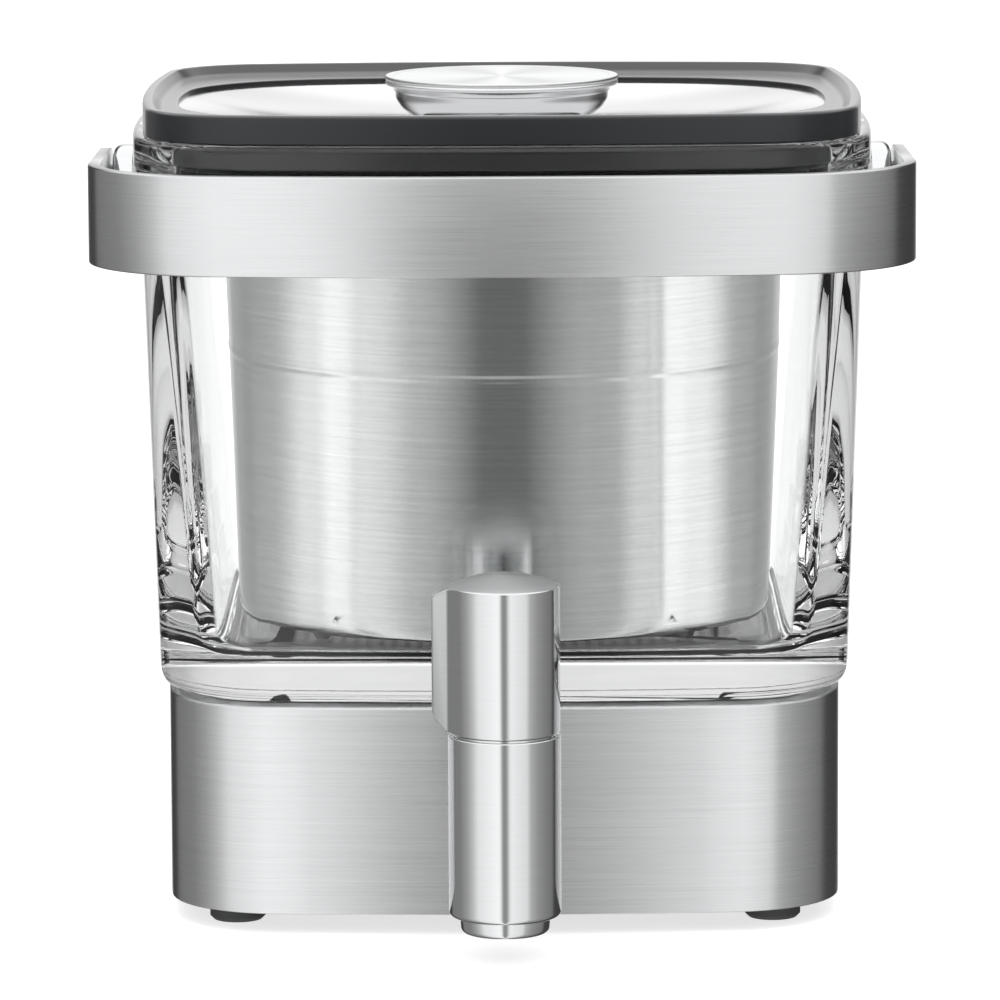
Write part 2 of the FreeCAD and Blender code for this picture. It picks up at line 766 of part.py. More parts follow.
def rivet_level():
    """Height of the rivets that hold the grip."""
    return steeper_top - grip_below_rim - grip_drop / 2 - grip_bend / 2


def steeper_screen():
    """Perforated plate that lies on the steeper's turned-in flange."""
    low = steeper_bottom + steeper_sheet
    inner = steeper_radius - steeper_foot_round
    radius = inner - screen_clear
    plate = rod(radius, at(0, 0, low), at(0, 0, low + screen_thick))
    reach = steeper_radius - steeper_foot_round - steeper_flange - screen_hole
    holes = []
    for row in range(-screen_rings, screen_rings + 1):
        for column in range(-screen_rings, screen_rings + 1):
            x = (column + row / 2) * screen_pitch
            y = row * screen_pitch * math.sqrt(0.75)
            if abs(column + row) <= screen_rings and math.hypot(x, y) <= reach:
                holes.append(hexagon(screen_hole, x, y, low).extrude(UP * screen_thick))
    return plate.cut(holes)


def screen_ring():
    """Flat ring that holds the screen down on the flange."""
    low = steeper_bottom + steeper_sheet + screen_thick
    outer = steeper_radius - steeper_foot_round - screen_clear
    return tube(outer, outer - ring_width, at(0, 0, low), at(0, 0, low + ring_height))


def steeper_feet():
    """Small feet pressed on under the flange that hold the steeper off the jar's floor."""
    reach = steeper_radius - steeper_foot_round - steeper_flange / 2
    tip = floor_top + steeper_foot_gap
    height = steeper_bottom - tip
    feet = []
    for index in range(pressed_foot_count):
        angle = math.radians(45 + 360 * index / pressed_foot_count)
        centre = at(reach * math.cos(angle), reach * math.sin(angle), tip)
        feet.append(Part.makeCone(pressed_foot_radius / 2, pressed_foot_radius, height, centre))
    return Part.makeCompound(feet)


def steeper_grip():
    """Steel strap across the steeper's mouth to lift it by, with its ends bent down."""
    half = steeper_radius - steeper_sheet - grip_clear
    top = steeper_top - grip_below_rim
    y = -grip_width / 2

    def strap(inward):
        reach = half - inward
        level = top - inward
        bend = grip_bend - inward
        bulge = bend * (1 - math.sqrt(0.5))
        foot = top - grip_drop
        edges = [
            Part.makeLine(at(-reach, y, foot), at(-reach, y, level - bend)),
            Part.Arc(at(-reach, y, level - bend), at(-reach + bulge, y, level - bulge),
                     at(-reach + bend, y, level)).toShape(),
            Part.makeLine(at(-reach + bend, y, level), at(reach - bend, y, level)),
            Part.Arc(at(reach - bend, y, level), at(reach - bulge, y, level - bulge),
                     at(reach, y, level - bend)).toShape(),
            Part.makeLine(at(reach, y, level - bend), at(reach, y, foot)),
            Part.makeLine(at(reach, y, foot), at(-reach, y, foot)),
        ]
        return Part.Face(Part.Wire(edges)).extrude(BACK * grip_width)

    body = strap(0).common(rod(half, at(0, 0, steeper_bottom), at(0, 0, steeper_top)))
    body = body.cut(strap(grip_sheet))
    holes = rod(rivet_radius, at(-half - 1, 0, rivet_level()), at(half + 1, 0, rivet_level()))
    return body.cut(holes)


def grip_rivets():
    """Rivets through the grip and the steeper's wall."""
    level = rivet_level()
    inner_face = steeper_radius - steeper_sheet - grip_sheet - 0.3
    shank = rod(rivet_radius, at(inner_face, 0, level), at(steeper_radius, 0, level))
    inside_head = rod(rivet_head_radius, at(inner_face - rivet_head_height, 0, level),
                      at(inner_face, 0, level))
    outside_head = rod(rivet_head_radius, at(steeper_radius, 0, level),
                       at(steeper_radius + rivet_head_height, 0, level))
    return Part.makeCompound(both_sides(fused([shank, inside_head, outside_head])))


# ---- lid ------------------------------------------------------------------------------------
def lid_frame():
    """Moulded lid: raised lip, recessed surface, opening for the pan and a plug ring below."""
    slab = bevelled(lid_plan, lid_bottom, lid_top, 0, lid_edge)
    recess = lid_plan.inset(lip_width).prism(opening_top, lid_top)
    opening = opening_plan.prism(lid_bottom, opening_top)
    plug = plug_plan.prism(plug_bottom, lid_bottom)
    plug_hollow = plug_plan.inset(plug_wall).prism(plug_bottom, skin_bottom)
    shell_hollow = lid_plan.inset(shell_wall).prism(lid_bottom + web_thick, skin_bottom)
    return fused([slab, plug]).cut([recess, opening, plug_hollow, shell_hollow])


def pan_surface(thickness):
    """The inside of the pan, or its outside where a thickness is given."""
    levels = []
    for step in range(pan_steps, -1, -1):
        turn = math.radians(90 * step / pan_steps)
        inward = pan_run * (1 - math.cos(turn)) - thickness
        height = skin_bottom - pan_depth * math.sin(turn) - thickness
        levels.append((opening_plan.inset(inward), height))
    return stacked(levels)


def lid_pan():
    """Pressed steel dish under the lid's opening."""
    outside = pan_surface(pan_sheet)
    rim = opening_plan.inset(-pan_rim).prism(skin_bottom - pan_sheet, skin_bottom)
    hole = rod(knob_screw_radius + 0.1, at(0, 0, pan_bottom - 5), at(0, 0, pan_bottom + 5))
    return fused([outside, rim]).cut([pan_surface(0), hole])


def lid_cover():
    """Moulded cover inside the plug ring that closes the lid from below."""
    top = pan_bottom - pan_sheet - 0.2
    plate = plug_plan.inset(plug_wall + cover_gap).prism(top - cover_thick, top)
    return plate.cut(rod(knob_screw_radius + 0.1, at(0, 0, top - 5), at(0, 0, top + 5)))


def lid_gasket():
    """Soft ring round the plug ring that seals in the jar's mouth."""
    high = lid_bottom - gasket_drop
    low = high - gasket_height
    outside = jar_inside(low).inset(gasket_clear)
    ring = outside.prism(low, high)
    return ring.cut(plug_plan.inset(-gasket_stretch).prism(low, high))


def knob_disc():
    """Turned disc on top of the knob, with a groove round its edge."""
    low = knob_top_height - knob_disc_height
    middle = (low + knob_top_height) / 2
    profile = [
        (0, low),
        (knob_radius - knob_edge, low),
        (knob_radius, low + knob_edge),
        (knob_radius, middle - knob_groove),
        (knob_radius - knob_groove, middle),
        (knob_radius, middle + knob_groove),
        (knob_radius, knob_top_height - knob_edge),
        (knob_radius - knob_edge, knob_top_height),
        (0, knob_top_height),
    ]
    bore = rod(knob_screw_radius, at(0, 0, low - 1), at(0, 0, low + knob_screw_bite))
    return lathe(profile).cut(bore)


def knob_bowl():
    """Hollow bowl under the disc, standing on the pan with a stud in its middle."""
    top = knob_top_height - knob_disc_height
    foot = pan_bottom
    shoulder = top - bowl_shoulder
    waist = top - bowl_waist
    wall = bowl_wall
    profile = [
        (stud_radius, foot),
        (bowl_foot_radius, foot),
        (bowl_waist_radius, waist),
        (bowl_radius, shoulder),
        (bowl_radius, top),
        (bowl_radius - wall, top),
        (bowl_radius - wall, shoulder),
        (bowl_waist_radius - wall, waist),
        (bowl_foot_radius - wall, foot + wall),
        (stud_radius, foot + wall),
        (stud_radius, top),
        (knob_screw_radius, top),
        (knob_screw_radius, foot),
    ]
    return lathe(profile)


def knob_screw():
    """Screw from under the lid up into the knob."""
    cover_bottom = pan_bottom - pan_sheet - 0.2 - cover_thick
    head = rod(knob_screw_head, at(0, 0, cover_bottom - knob_screw_head_height), at(0, 0, cover_bottom))
    shank_end = knob_top_height - knob_disc_height + knob_screw_bite
    shank = rod(knob_screw_radius, at(0, 0, cover_bottom), at(0, 0, shank_end))
    return fused([head, shank])


# ---- tap ------------------------------------------------------------------------------------
tap_axis = at(0, -tap_reach, 0)


def tap_body():
    """Upright barrel of the tap, bored for the valve plug, the inlet and the nozzle."""
    bore = plug_radius + plug_running
    profile = [
        (nozzle_spigot_radius, tap_body_foot),
        (tap_body_radius - tap_body_bevel, tap_body_foot),
        (tap_body_radius, tap_body_foot + tap_body_bevel),
        (tap_body_radius, tap_body_top),
        (bore, tap_body_top),
        (bore, plug_foot),
        (nozzle_bore, plug_foot),
        (nozzle_bore, tap_body_foot + nozzle_spigot),
        (nozzle_spigot_radius, tap_body_foot + nozzle_spigot),
    ]
    barrel = lathe(profile, tap_axis)
    inlet = along_pipe(shank_bore, -tap_reach, skirt_front)
    socket = along_pipe(shank_spigot_radius, shank_front(), skirt_front)
    return barrel.cut([inlet, socket])


def shank_front():
    """Where the shank ends inside the tap's barrel."""
    return -tap_reach + plug_radius + plug_running + 0.6


def tap_ring():
    """Thin ring between the tap's barrel and its handle."""
    return tube(tap_ring_radius, stem_radius + 1.0, at(0, -tap_reach, tap_body_top),
                at(0, -tap_reach, tap_body_top + tap_ring_thick))


def tap_nozzle():
    """Spout screwed into the foot of the barrel."""
    profile = [
        (nozzle_bore, nozzle_foot),
        (nozzle_foot_radius, nozzle_foot),
        (nozzle_foot_radius + nozzle_bevel, nozzle_foot + nozzle_bevel),
        (nozzle_radius, tap_body_foot),
        (nozzle_spigot_radius, tap_body_foot),
        (nozzle_spigot_radius, tap_body_foot + nozzle_spigot),
        (nozzle_bore, tap_body_foot + nozzle_spigot),
    ]
    return lathe(profile, tap_axis)


def tap_handle():
    """Handle of the tap: a round grip with a fin on its left, a domed top and a stem socket."""
    low = tap_handle_bottom
    rise = dome_top - low
    tip = fin_reach - fin_tip_radius
    slant = math.acos((tap_handle_radius - fin_tip_radius) / tip)

    def grip_point(angle, radius, x):
        return at(x - radius * math.cos(angle), -tap_reach - radius * math.sin(angle), low)

    front_grip = grip_point(slant, tap_handle_radius, 0)
    back_grip = grip_point(-slant, tap_handle_radius, 0)
    front_tip = grip_point(slant, fin_tip_radius, -tip)
    back_tip = grip_point(-slant, fin_tip_radius, -tip)
    outline = Part.Wire([
        Part.Arc(front_grip, at(tap_handle_radius, -tap_reach, low), back_grip).toShape(),
        Part.makeLine(back_grip, back_tip),
        Part.Arc(back_tip, at(-fin_reach, -tap_reach, low), front_tip).toShape(),
        Part.makeLine(front_tip, front_grip),
    ])
    grip = Part.Face(outline).extrude(UP * rise)
    bulge = fin_lower_round * (1 - math.sqrt(0.5))
    side = -tap_reach - tap_handle_radius - 1
    profile = Part.Wire([
        Part.makeLine(at(-fin_reach + fin_lower_round, side, low), at(fin_reach, side, low)),
        Part.makeLine(at(fin_reach, side, low), at(fin_reach, side, dome_top)),
        Part.makeLine(at(fin_reach, side, dome_top), at(-fin_reach, side, dome_top)),
        Part.makeLine(at(-fin_reach, side, dome_top), at(-fin_reach, side, low + fin_lower_round)),
        Part.Arc(at(-fin_reach, side, low + fin_lower_round), at(-fin_reach + bulge, side, low + bulge),
                 at(-fin_reach + fin_lower_round, side, low)).toShape(),
    ])
    grip = grip.common(Part.Face(profile).extrude(BACK * (2 * tap_handle_radius + 2)))
    grip = grip.common(Part.makeSphere(dome_radius, at(0, -tap_reach, dome_top - dome_radius)))
    socket = rod(stem_radius + stem_clear, at(0, -tap_reach, low - 1), at(0, -tap_reach, stem_top() + 0.5))
    grub = rod(grub_radius, at(0, -tap_reach, grub_height), at(0, -tap_reach + fin_reach, grub_height))
    return grip.cut([socket, grub])


def stem_top():
    """Top of the valve plug's stem."""
    return tap_body_top + stem_length


def valve_plug():
    """Turning plug of the valve: ports, seal grooves and the stem that carries the handle."""
    low = plug_foot + plug_seat_gap
    groove_floor = plug_radius - seal_depth
    profile = [(0, low), (plug_radius, low)]
    for height in seal_heights:
        profile += [
            (plug_radius, height - seal_height / 2),
            (groove_floor, height - seal_height / 2),
            (groove_floor, height + seal_height / 2),
            (plug_radius, height + seal_height / 2),
        ]
    profile += [
        (plug_radius, tap_body_top),
        (stem_radius, tap_body_top),
        (stem_radius, stem_top()),
        (0, stem_top()),
    ]
    plug = lathe(profile, tap_axis)
    down = rod(port_radius, at(0, -tap_reach, low - 1), at(0, -tap_reach, inlet_height))
    across = rod(port_radius, at(0, -tap_reach, inlet_height), at(plug_radius + 1, -tap_reach, inlet_height))
    return plug.cut([down, across])


def valve_seals():
    """Square-section seal rings in the plug's grooves."""
    half = seal_height / 2
    rings = [tube(plug_radius, plug_radius - seal_depth, at(0, -tap_reach, height - half),
                  at(0, -tap_reach, height + half)) for height in seal_heights]
    return Part.makeCompound(rings)


def tap_grub_screw():
    """Grub screw at the back of the tap's handle that holds it on the stem."""
    start = at(0, -tap_reach + stem_radius + stem_clear, grub_height)
    return rod(grub_radius, start, start + BACK * grub_length)


# ---- plumbing -------------------------------------------------------------------------------
def tap_shank():
    """Threaded tube from the tap's barrel through the front of the base."""
    gasket_front = skirt_front - shank_gasket_thick
    thread_end = skirt_front + skirt_sheet + shank_washer_thick + hex_nut_height + 1
    barrel_back = -tap_reach + tap_body_radius
    parts = [
        along_pipe(shank_spigot_radius, shank_front(), barrel_back + 1),
        along_pipe(shank_neck_radius, barrel_back + 0.8, thread_end),
        along_pipe(shank_flange_radius, gasket_front - shank_flange_thick, gasket_front),
        along_pipe(shank_end_radius, thread_end, elbow_front() + elbow_overlap),
    ]
    return fused(parts).cut(along_pipe(shank_bore, shank_front() - 1, elbow_front() + elbow_overlap + 1))


def shank_gasket():
    """Soft washer between the shank's flange and the skirt."""
    front = skirt_front - shank_gasket_thick
    return tube(shank_flange_radius - 0.5, shank_neck_radius, at(0, front, inlet_height),
                at(0, skirt_front, inlet_height))


def hex_nut(start, direction, bore):
    """A hexagonal nut whose first face stands at a point."""
    nut = hexagon(hex_nut_flats, 0, 0, 0).extrude(UP * hex_nut_height)
    nut = nut.cut(rod(bore, at(0, 0, -1), at(0, 0, hex_nut_height + 1)))
    nut.Placement = FreeCAD.Placement(start, FreeCAD.Rotation(UP, direction))
    return nut


def shank_nut():
    """Washer and nut that clamp the shank to the skirt from inside."""
    face = skirt_front + skirt_sheet + washer_clear
    bore = shank_neck_radius + thread_clear
    nut = hex_nut(at(0, face + shank_washer_thick, inlet_height), BACK, bore)
    washer = tube(hex_nut_flats / 2, bore, at(0, face, inlet_height),
                  at(0, face + shank_washer_thick, inlet_height))
    return fused([nut, washer])


def elbow_front():
    """Where the elbow's mouth slips over the end of the shank."""
    return skirt_front + skirt_sheet + shank_washer_thick + hex_nut_height + elbow_overlap


def drain_fitting():
    """Flanged tube that drains the jar through its floor."""
    flange_low = floor_top + drain_gasket_thick
    flange_top = flange_low + drain_flange_thick
    tube_end = jar_bottom - drain_tube_below
    flange = rod(drain_flange_radius, at(0, -drain_reach, flange_low), at(0, -drain_reach, flange_top))
    stem = rod(drain_tube_radius, at(0, -drain_reach, tube_end), at(0, -drain_reach, flange_top))
    bore = rod(shank_bore, at(0, -drain_reach, tube_end), at(0, -drain_reach, flange_top))
    return fused([flange, stem]).cut(bore)


def drain_gaskets():
    """Soft washers above and below the glass round the drain."""
    rings = []
    for low in (floor_top, jar_bottom - drain_gasket_thick):
        rings.append(tube(drain_flange_radius - 0.5, drain_tube_radius, at(0, -drain_reach, low),
                          at(0, -drain_reach, low + drain_gasket_thick)))
    return Part.makeCompound(rings)


def drain_nut():
    """Nut under the glass that clamps the drain fitting."""
    top = jar_bottom - drain_gasket_thick
    return hex_nut(at(0, -drain_reach, top - hex_nut_height), UP, drain_tube_radius + thread_clear)


def feed_elbow():
    """Moulded elbow from the drain to the tap's shank."""
    inner = shank_end_radius
    outer = inner + elbow_wall
    riser_top = jar_bottom - drain_gasket_thick - hex_nut_height

    def run(radius, end_y, low):
        level = along_pipe(radius, elbow_front(), end_y)
        riser = rod(radius, at(0, -drain_reach, low), at(0, -drain_reach, riser_top))
        return level.fuse(riser)

    shell = run(outer, -drain_reach + outer, inlet_height - outer).removeSplitter()
    return shell.cut(run(inner, -drain_reach + inner, inlet_height - inner))


NODES = {
    "base_skirt": base_skirt,
    "base_frame": base_frame,
    "base_plate": base_plate,
    "base_feet": base_feet,
    "base_screws": base_screws,
    "jar_seat": jar_seat,
    "glass_jar": glass_jar,
    "collar_liner": collar_liner,
    "neck_collar": neck_collar,
    "pivot_bosses": pivot_bosses,
    "pivot_pins": pivot_pins,
    "pivot_washers": pivot_washers,
    "carry_handle": carry_handle,
    "handle_bushes": handle_bushes,
    "steeper_wall": steeper_wall,
    "steeper_foot": steeper_foot,
    "steeper_screen": steeper_screen,
    "screen_ring": screen_ring,
    "steeper_feet": steeper_feet,
    "steeper_grip": steeper_grip,
    "grip_rivets": grip_rivets,
    "lid_frame": lid_frame,
    "lid_pan": lid_pan,
    "lid_cover": lid_cover,
    "lid_gasket": lid_gasket,
    "knob_disc": knob_disc,
    "knob_bowl": knob_bowl,
    "knob_screw": knob_screw,
    "tap_body": tap_body,
    "tap_ring": tap_ring,
    "tap_nozzle": tap_nozzle,
    "tap_handle": tap_handle,
    "valve_plug": valve_plug,
    "valve_seals": valve_seals,
    "tap_grub_screw": tap_grub_screw,
    "tap_shank": tap_shank,
    "shank_gasket": shank_gasket,
    "shank_nut": shank_nut,
    "drain_fitting": drain_fitting,
    "drain_gaskets": drain_gaskets,
    "drain_nut": drain_nut,
    "feed_elbow": feed_elbow,
}


def export_all():
    """Write one STEP file for each node."""
    os.makedirs("parts", exist_ok=True)
    for name, build in NODES.items():
        shape = build()
        shape.translate(BACK * centre_shift)
        shape.exportStep("parts/" + name + ".step")
        print(name, len(shape.Solids), "solid(s)", round(shape.Volume), "mm3", shape.isValid())


export_all()
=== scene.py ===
import json
import logging
import math
from abc import ABC, abstractmethod
from collections.abc import Callable
from dataclasses import astuple, dataclass, field, replace
from enum import Enum
from typing import ClassVar, Protocol

import bmesh
import bpy
from mathutils import Matrix, Vector


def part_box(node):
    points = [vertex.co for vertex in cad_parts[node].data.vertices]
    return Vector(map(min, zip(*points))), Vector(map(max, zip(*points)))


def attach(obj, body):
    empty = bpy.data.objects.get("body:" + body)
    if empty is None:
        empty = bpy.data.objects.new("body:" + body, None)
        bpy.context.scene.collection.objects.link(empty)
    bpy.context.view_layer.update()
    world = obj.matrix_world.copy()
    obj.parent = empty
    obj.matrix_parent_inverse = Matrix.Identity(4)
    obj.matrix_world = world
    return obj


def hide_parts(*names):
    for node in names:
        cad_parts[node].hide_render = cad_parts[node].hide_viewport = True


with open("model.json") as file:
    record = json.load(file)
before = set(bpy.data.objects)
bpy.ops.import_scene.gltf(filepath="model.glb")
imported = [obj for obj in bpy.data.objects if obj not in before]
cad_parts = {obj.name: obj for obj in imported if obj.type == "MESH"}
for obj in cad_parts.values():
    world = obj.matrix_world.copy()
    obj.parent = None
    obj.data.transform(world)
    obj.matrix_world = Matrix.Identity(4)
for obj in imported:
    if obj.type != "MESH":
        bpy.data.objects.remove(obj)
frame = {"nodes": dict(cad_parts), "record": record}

log = logging.getLogger("coffee_maker")
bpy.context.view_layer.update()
MM = 0.001
UP = Vector((0, 0, 1))
POLE = 0.001  # millimetres: radius of a ring that closes on the axis
WELD = 1e-6  # metres: points that are closer than this become one
SMOOTH_BELOW = 32.0  # degrees: an edge that is sharper stays sharp
CORNER_SHARE = 0.49  # share of a straight that the arc at one of its ends may take
ARC_STEPS = 12  # straight steps in each of the eight arcs of a plan
Point = tuple[float, float]
Ring = list[Vector]


def middle(node: str) -> Vector:
    """The middle of a CAD node's box."""
    low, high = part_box(node)
    return (low + high) / 2


def levels(node: str) -> Point:
    """The bottom and the top of a CAD node, in millimetres."""
    low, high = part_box(node)
    return low.z / MM, high.z / MM


JAR_AXIS = middle("steeper_wall").xy
TAP_AXIS = middle("tap_nozzle").xy


# ---- sections and rings --------------------------------------------------------------------------


@dataclass(frozen=True)
class Bend:
    """A corner of a section, in millimetres.

    Attributes:
        out: distance from the axis, or outwards from the plan.
        up: height.
        round: radius of the corner, 0 where it is sharp.
    """

    out: float
    up: float
    round: float = 0.0


def rounded(bends: list[Bend], steps: int = 5, closed: bool = False) -> list[Point]:
    """Turns the corners of a section into arcs.

    Args:
        bends: the corners in order.
        steps: straight steps in each arc.
        closed: whether the last corner joins the first.

    Returns:
        The points of the section, in millimetres.
    """
    path: list[Point] = []
    for index, bend in enumerate(bends):
        at_end = not closed and index in (0, len(bends) - 1)
        if bend.round == 0 or at_end:
            path.append((bend.out, bend.up))
            continue
        last, following = bends[index - 1], bends[(index + 1) % len(bends)]
        here = Vector((bend.out, bend.up))
        back = Vector((last.out, last.up)) - here
        ahead = Vector((following.out, following.up)) - here
        half = back.angle(ahead) / 2
        longest = CORNER_SHARE * min(back.length, ahead.length)
        reach = min(bend.round / math.tan(half), longest)
        radius = reach * math.tan(half)
        inwards = (back.normalized() + ahead.normalized()).normalized()
        centre = here + inwards * (radius / math.sin(half))
        start = here + back.normalized() * reach - centre
        end = here + ahead.normalized() * reach - centre
        sweep = math.atan2(start.x * end.y - start.y * end.x, start.dot(end))
        for step in range(steps + 1):
            turn = sweep * step / steps
            x = start.x * math.cos(turn) - start.y * math.sin(turn)
            y = start.x * math.sin(turn) + start.y * math.cos(turn)
            path.append((centre.x + x, centre.y + y))
    return path


def circle(centre: Vector, radius: float, axis: Vector = UP, count: int = 96) -> Ring:
    """A ring of points round an axis.

    Args:
        centre: middle of the ring, in metres.
        radius: in metres.
        axis: direction of the axis.
        count: number of points.

    Returns:
        The points, anticlockwise seen against the axis.
    """
    turn = UP.rotation_difference(axis)
    angles = [2 * math.pi * k / count for k in range(count)]
    flat = [Vector((radius * math.cos(a), radius * math.sin(a), 0)) for a in angles]
    return [centre + turn @ point for point in flat]


@dataclass(frozen=True)
class BowedPlan:
    """A rectangle seen from above whose sides bow outwards and meet in round corners.

    Attributes:
        width: over the middle of the sides, in millimetres.
        depth: over the middle of the front and back.
        corner: corner radius.
        front_bow: radius of the front and back.
        side_bow: radius of the two sides.
    """

    width: float
    depth: float
    corner: float
    front_bow: float
    side_bow: float

    def towards(self, other: "BowedPlan", share: float) -> "BowedPlan":
        """The plan part of the way from this one to another.

        Args:
            other: the plan at a share of 1.
            share: how far along.

        Returns:
            The plan in between.
        """
        pairs = zip(astuple(self), astuple(other))
        return BowedPlan(*[near + (far - near) * share for near, far in pairs])

    def corner_centre(self, right: Vector, back: Vector) -> Vector:
        """The centre of the round corner between the right side and the back.

        Args:
            right: centre of the right side's arc.
            back: centre of the back's arc.

        Returns:
            The point from which the corner's arc runs into both.
        """
        reach_back, reach_side = self.front_bow - self.corner, self.side_bow - self.corner
        gap = right - back
        along = (reach_side**2 - reach_back**2 + gap.length_squared) / (2 * gap.length)
        across = math.sqrt(reach_side**2 - along**2)
        unit = -gap.normalized()
        aside = Vector((-unit.y, unit.x)) * across
        near, far = right + unit * along + aside, right + unit * along - aside
        return far if near.x < 0 or near.y < 0 else near

    def arcs(self, outwards: float) -> list[tuple[Vector, float, float, float]]:
        """The eight arcs of the plan or of one parallel to it.

        Args:
            outwards: how far outside the plan, in millimetres.

        Returns:
            Centre, radius, first and last angle of each arc, anticlockwise from the right side.
        """
        right = Vector((self.width / 2 - self.side_bow, 0))
        back = Vector((0, self.depth / 2 - self.front_bow))
        corner = self.corner_centre(right, back)
        tilt_side = math.atan2(corner.y, corner.x - right.x)
        tilt_back = math.atan2(corner.x, corner.y - back.y)
        quarter = math.pi / 2
        arcs = []
        for turn, (centre, radius, tilt, next_tilt, signs) in enumerate((
            (right, self.side_bow, tilt_side, tilt_back, (1, 1)),
            (back, self.front_bow, tilt_back, tilt_side, (-1, 1)),
            (-right, self.side_bow, tilt_side, tilt_back, (-1, -1)),
            (-back, self.front_bow, tilt_back, tilt_side, (1, -1)),
        )):
            facing = turn * quarter
            arcs.append((centre, radius + outwards, facing - tilt, facing + tilt))
            place = Vector((corner.x * signs[0], corner.y * signs[1]))
            last = facing + quarter - next_tilt
            arcs.append((place, self.corner + outwards, facing + tilt, last))
        return arcs

    def ring(self, outwards: float, up: float) -> Ring:
        """The plan's points round the jar's axis.

        Args:
            outwards: how far outside the plan, in millimetres.
            up: height in millimetres.

        Returns:
            The points, in metres.
        """
        points = []
        for centre, radius, first, last in self.arcs(outwards):
            for step in range(ARC_STEPS):
                angle = first + (last - first) * step / ARC_STEPS
                x = (centre.x + radius * math.cos(angle)) * MM
                y = (centre.y + radius * math.sin(angle)) * MM
                points.append(Vector((JAR_AXIS.x + x, JAR_AXIS.y + y, up * MM)))
        return points

    def rings(self, section: list[Point]) -> list[Ring]:
        """The plan's rings for the points of a section."""
        return [self.ring(out, up) for out, up in section]


# ---- modelling -----------------------------------------------------------------------------------


def start_primitive() -> None:
    """Leaves every object unselected so that an operator acts on the new piece alone."""
    if bpy.context.object and bpy.context.object.mode != "OBJECT":
        bpy.ops.object.mode_set(mode="OBJECT")
    bpy.ops.object.select_all(action="DESELECT")


def lay_ring(piece: bpy.types.Object, ring: Ring) -> None:
    """Moves the selected vertices on to a ring, each to the point of its own number.

    Args:
        piece: the object in edit mode.
        ring: the points.
    """
    mesh = bmesh.from_edit_mesh(piece.data)
    number = mesh.verts.layers.int["number"]
    for vertex in mesh.verts:
        if vertex.select:
            vertex.co = ring[vertex[number]]
    bmesh.update_edit_mesh(piece.data)


def skinned(name: str, rings: list[Ring], closed: bool = False) -> bpy.types.Object:
    """A piece made from a circle that is extruded ring by ring.

    Args:
        name: the piece's name.
        rings: rings with the same number of points, in order.
        closed: whether the last ring joins the first; if not, both ends are filled.

    Returns:
        The piece, shaded smooth, with its faces outwards.
    """
    start_primitive()
    bpy.ops.mesh.primitive_circle_add(vertices=len(rings[0]), radius=rings[0][0].length + MM)
    piece = bpy.context.object
    piece.name = name
    piece.data.name = name
    bpy.ops.object.mode_set(mode="EDIT")
    mesh = bmesh.from_edit_mesh(piece.data)
    number = mesh.verts.layers.int.new("number")
    for index, vertex in enumerate(mesh.verts):
        vertex[number] = index
    lay_ring(piece, rings[0])
    if not closed:
        bpy.ops.mesh.edge_face_add()
        mesh = bmesh.from_edit_mesh(piece.data)
        for face in mesh.faces:
            face.select = False
        for edge in mesh.edges:
            edge.select = True
        bmesh.update_edit_mesh(piece.data)
    for ring in rings[1:] + (rings[:1] if closed else []):
        bpy.ops.mesh.extrude_edges_move()
        lay_ring(piece, ring)
    if not closed:
        bpy.ops.mesh.edge_face_add()
    bpy.ops.mesh.select_all(action="SELECT")
    bpy.ops.mesh.remove_doubles(threshold=WELD)
    bpy.ops.mesh.normals_make_consistent(inside=False)
    return finished(piece)


def finished(piece: bpy.types.Object) -> bpy.types.Object:
    """Ends a piece: object mode, place in its mesh, smooth where its faces meet gently.

    Args:
        piece: the active object, in edit mode.

    Returns:
        The same piece.
    """
    bpy.ops.object.mode_set(mode="OBJECT")
    bpy.ops.object.transform_apply(location=True, rotation=True, scale=True)
    bpy.ops.object.shade_smooth_by_angle(angle=math.radians(SMOOTH_BELOW))
    return piece


def turned(name: str, section: list[Point], centre: Vector, closed: bool = False,
           count: int = 96) -> bpy.types.Object:
    """A piece turned about an upright axis.

    Args:
        name: the piece's name.
        section: radius and height of each ring, in millimetres.
        centre: the axis, seen from above, in metres.
        closed: whether the section is a closed loop.
        count: points in a ring.

    Returns:
        The piece.
    """
    rings = []
    for out, up in section:
        place = Vector((centre.x, centre.y, up * MM))
        rings.append(circle(place, max(out, POLE) * MM, count=count))
    return skinned(name, rings, closed)


def reshape(piece: bpy.types.Object, kind: str, **settings: object) -> None:
    """Puts a modifier on a piece and applies it.

    Args:
        piece: the active object.
        kind: Blender's name for the modifier.
        settings: the modifier's own settings.
    """
    change = piece.modifiers.new(kind.lower(), kind)
    for key, value in settings.items():
        setattr(change, key, value)
    bpy.ops.object.modifier_apply(modifier=change.name)


def cut_away(piece: bpy.types.Object, cutter: bpy.types.Object) -> None:
    """Takes one shape out of another and removes the cutter.

    Args:
        piece: what is cut.
        cutter: what is taken out of it.
    """
    start_primitive()
    bpy.context.view_layer.objects.active = piece
    piece.select_set(True)
    reshape(piece, "BOOLEAN", object=cutter, operation="DIFFERENCE", solver="EXACT")
    bpy.data.objects.remove(cutter)
    bpy.ops.object.shade_smooth_by_angle(angle=math.radians(SMOOTH_BELOW))


def joined(name: str, pieces: list[bpy.types.Object]) -> bpy.types.Object:
    """Several separate shapes as one piece.

    Args:
        name: the new piece's name.
        pieces: the shapes.

    Returns:
        The joined piece.
    """
    start_primitive()
    for shape in pieces:
        shape.select_set(True)
    bpy.context.view_layer.objects.active = pieces[0]
    bpy.ops.object.join()
    pieces[0].name = name
    pieces[0].data.name = name
    return pieces[0]


# ---- finishes ------------------------------------------------------------------------------------


Value = float | tuple[float, ...] | bpy.types.NodeSocket
NODE_GAP = 190  # from node to node on a sheet
SHEET_START = -1400


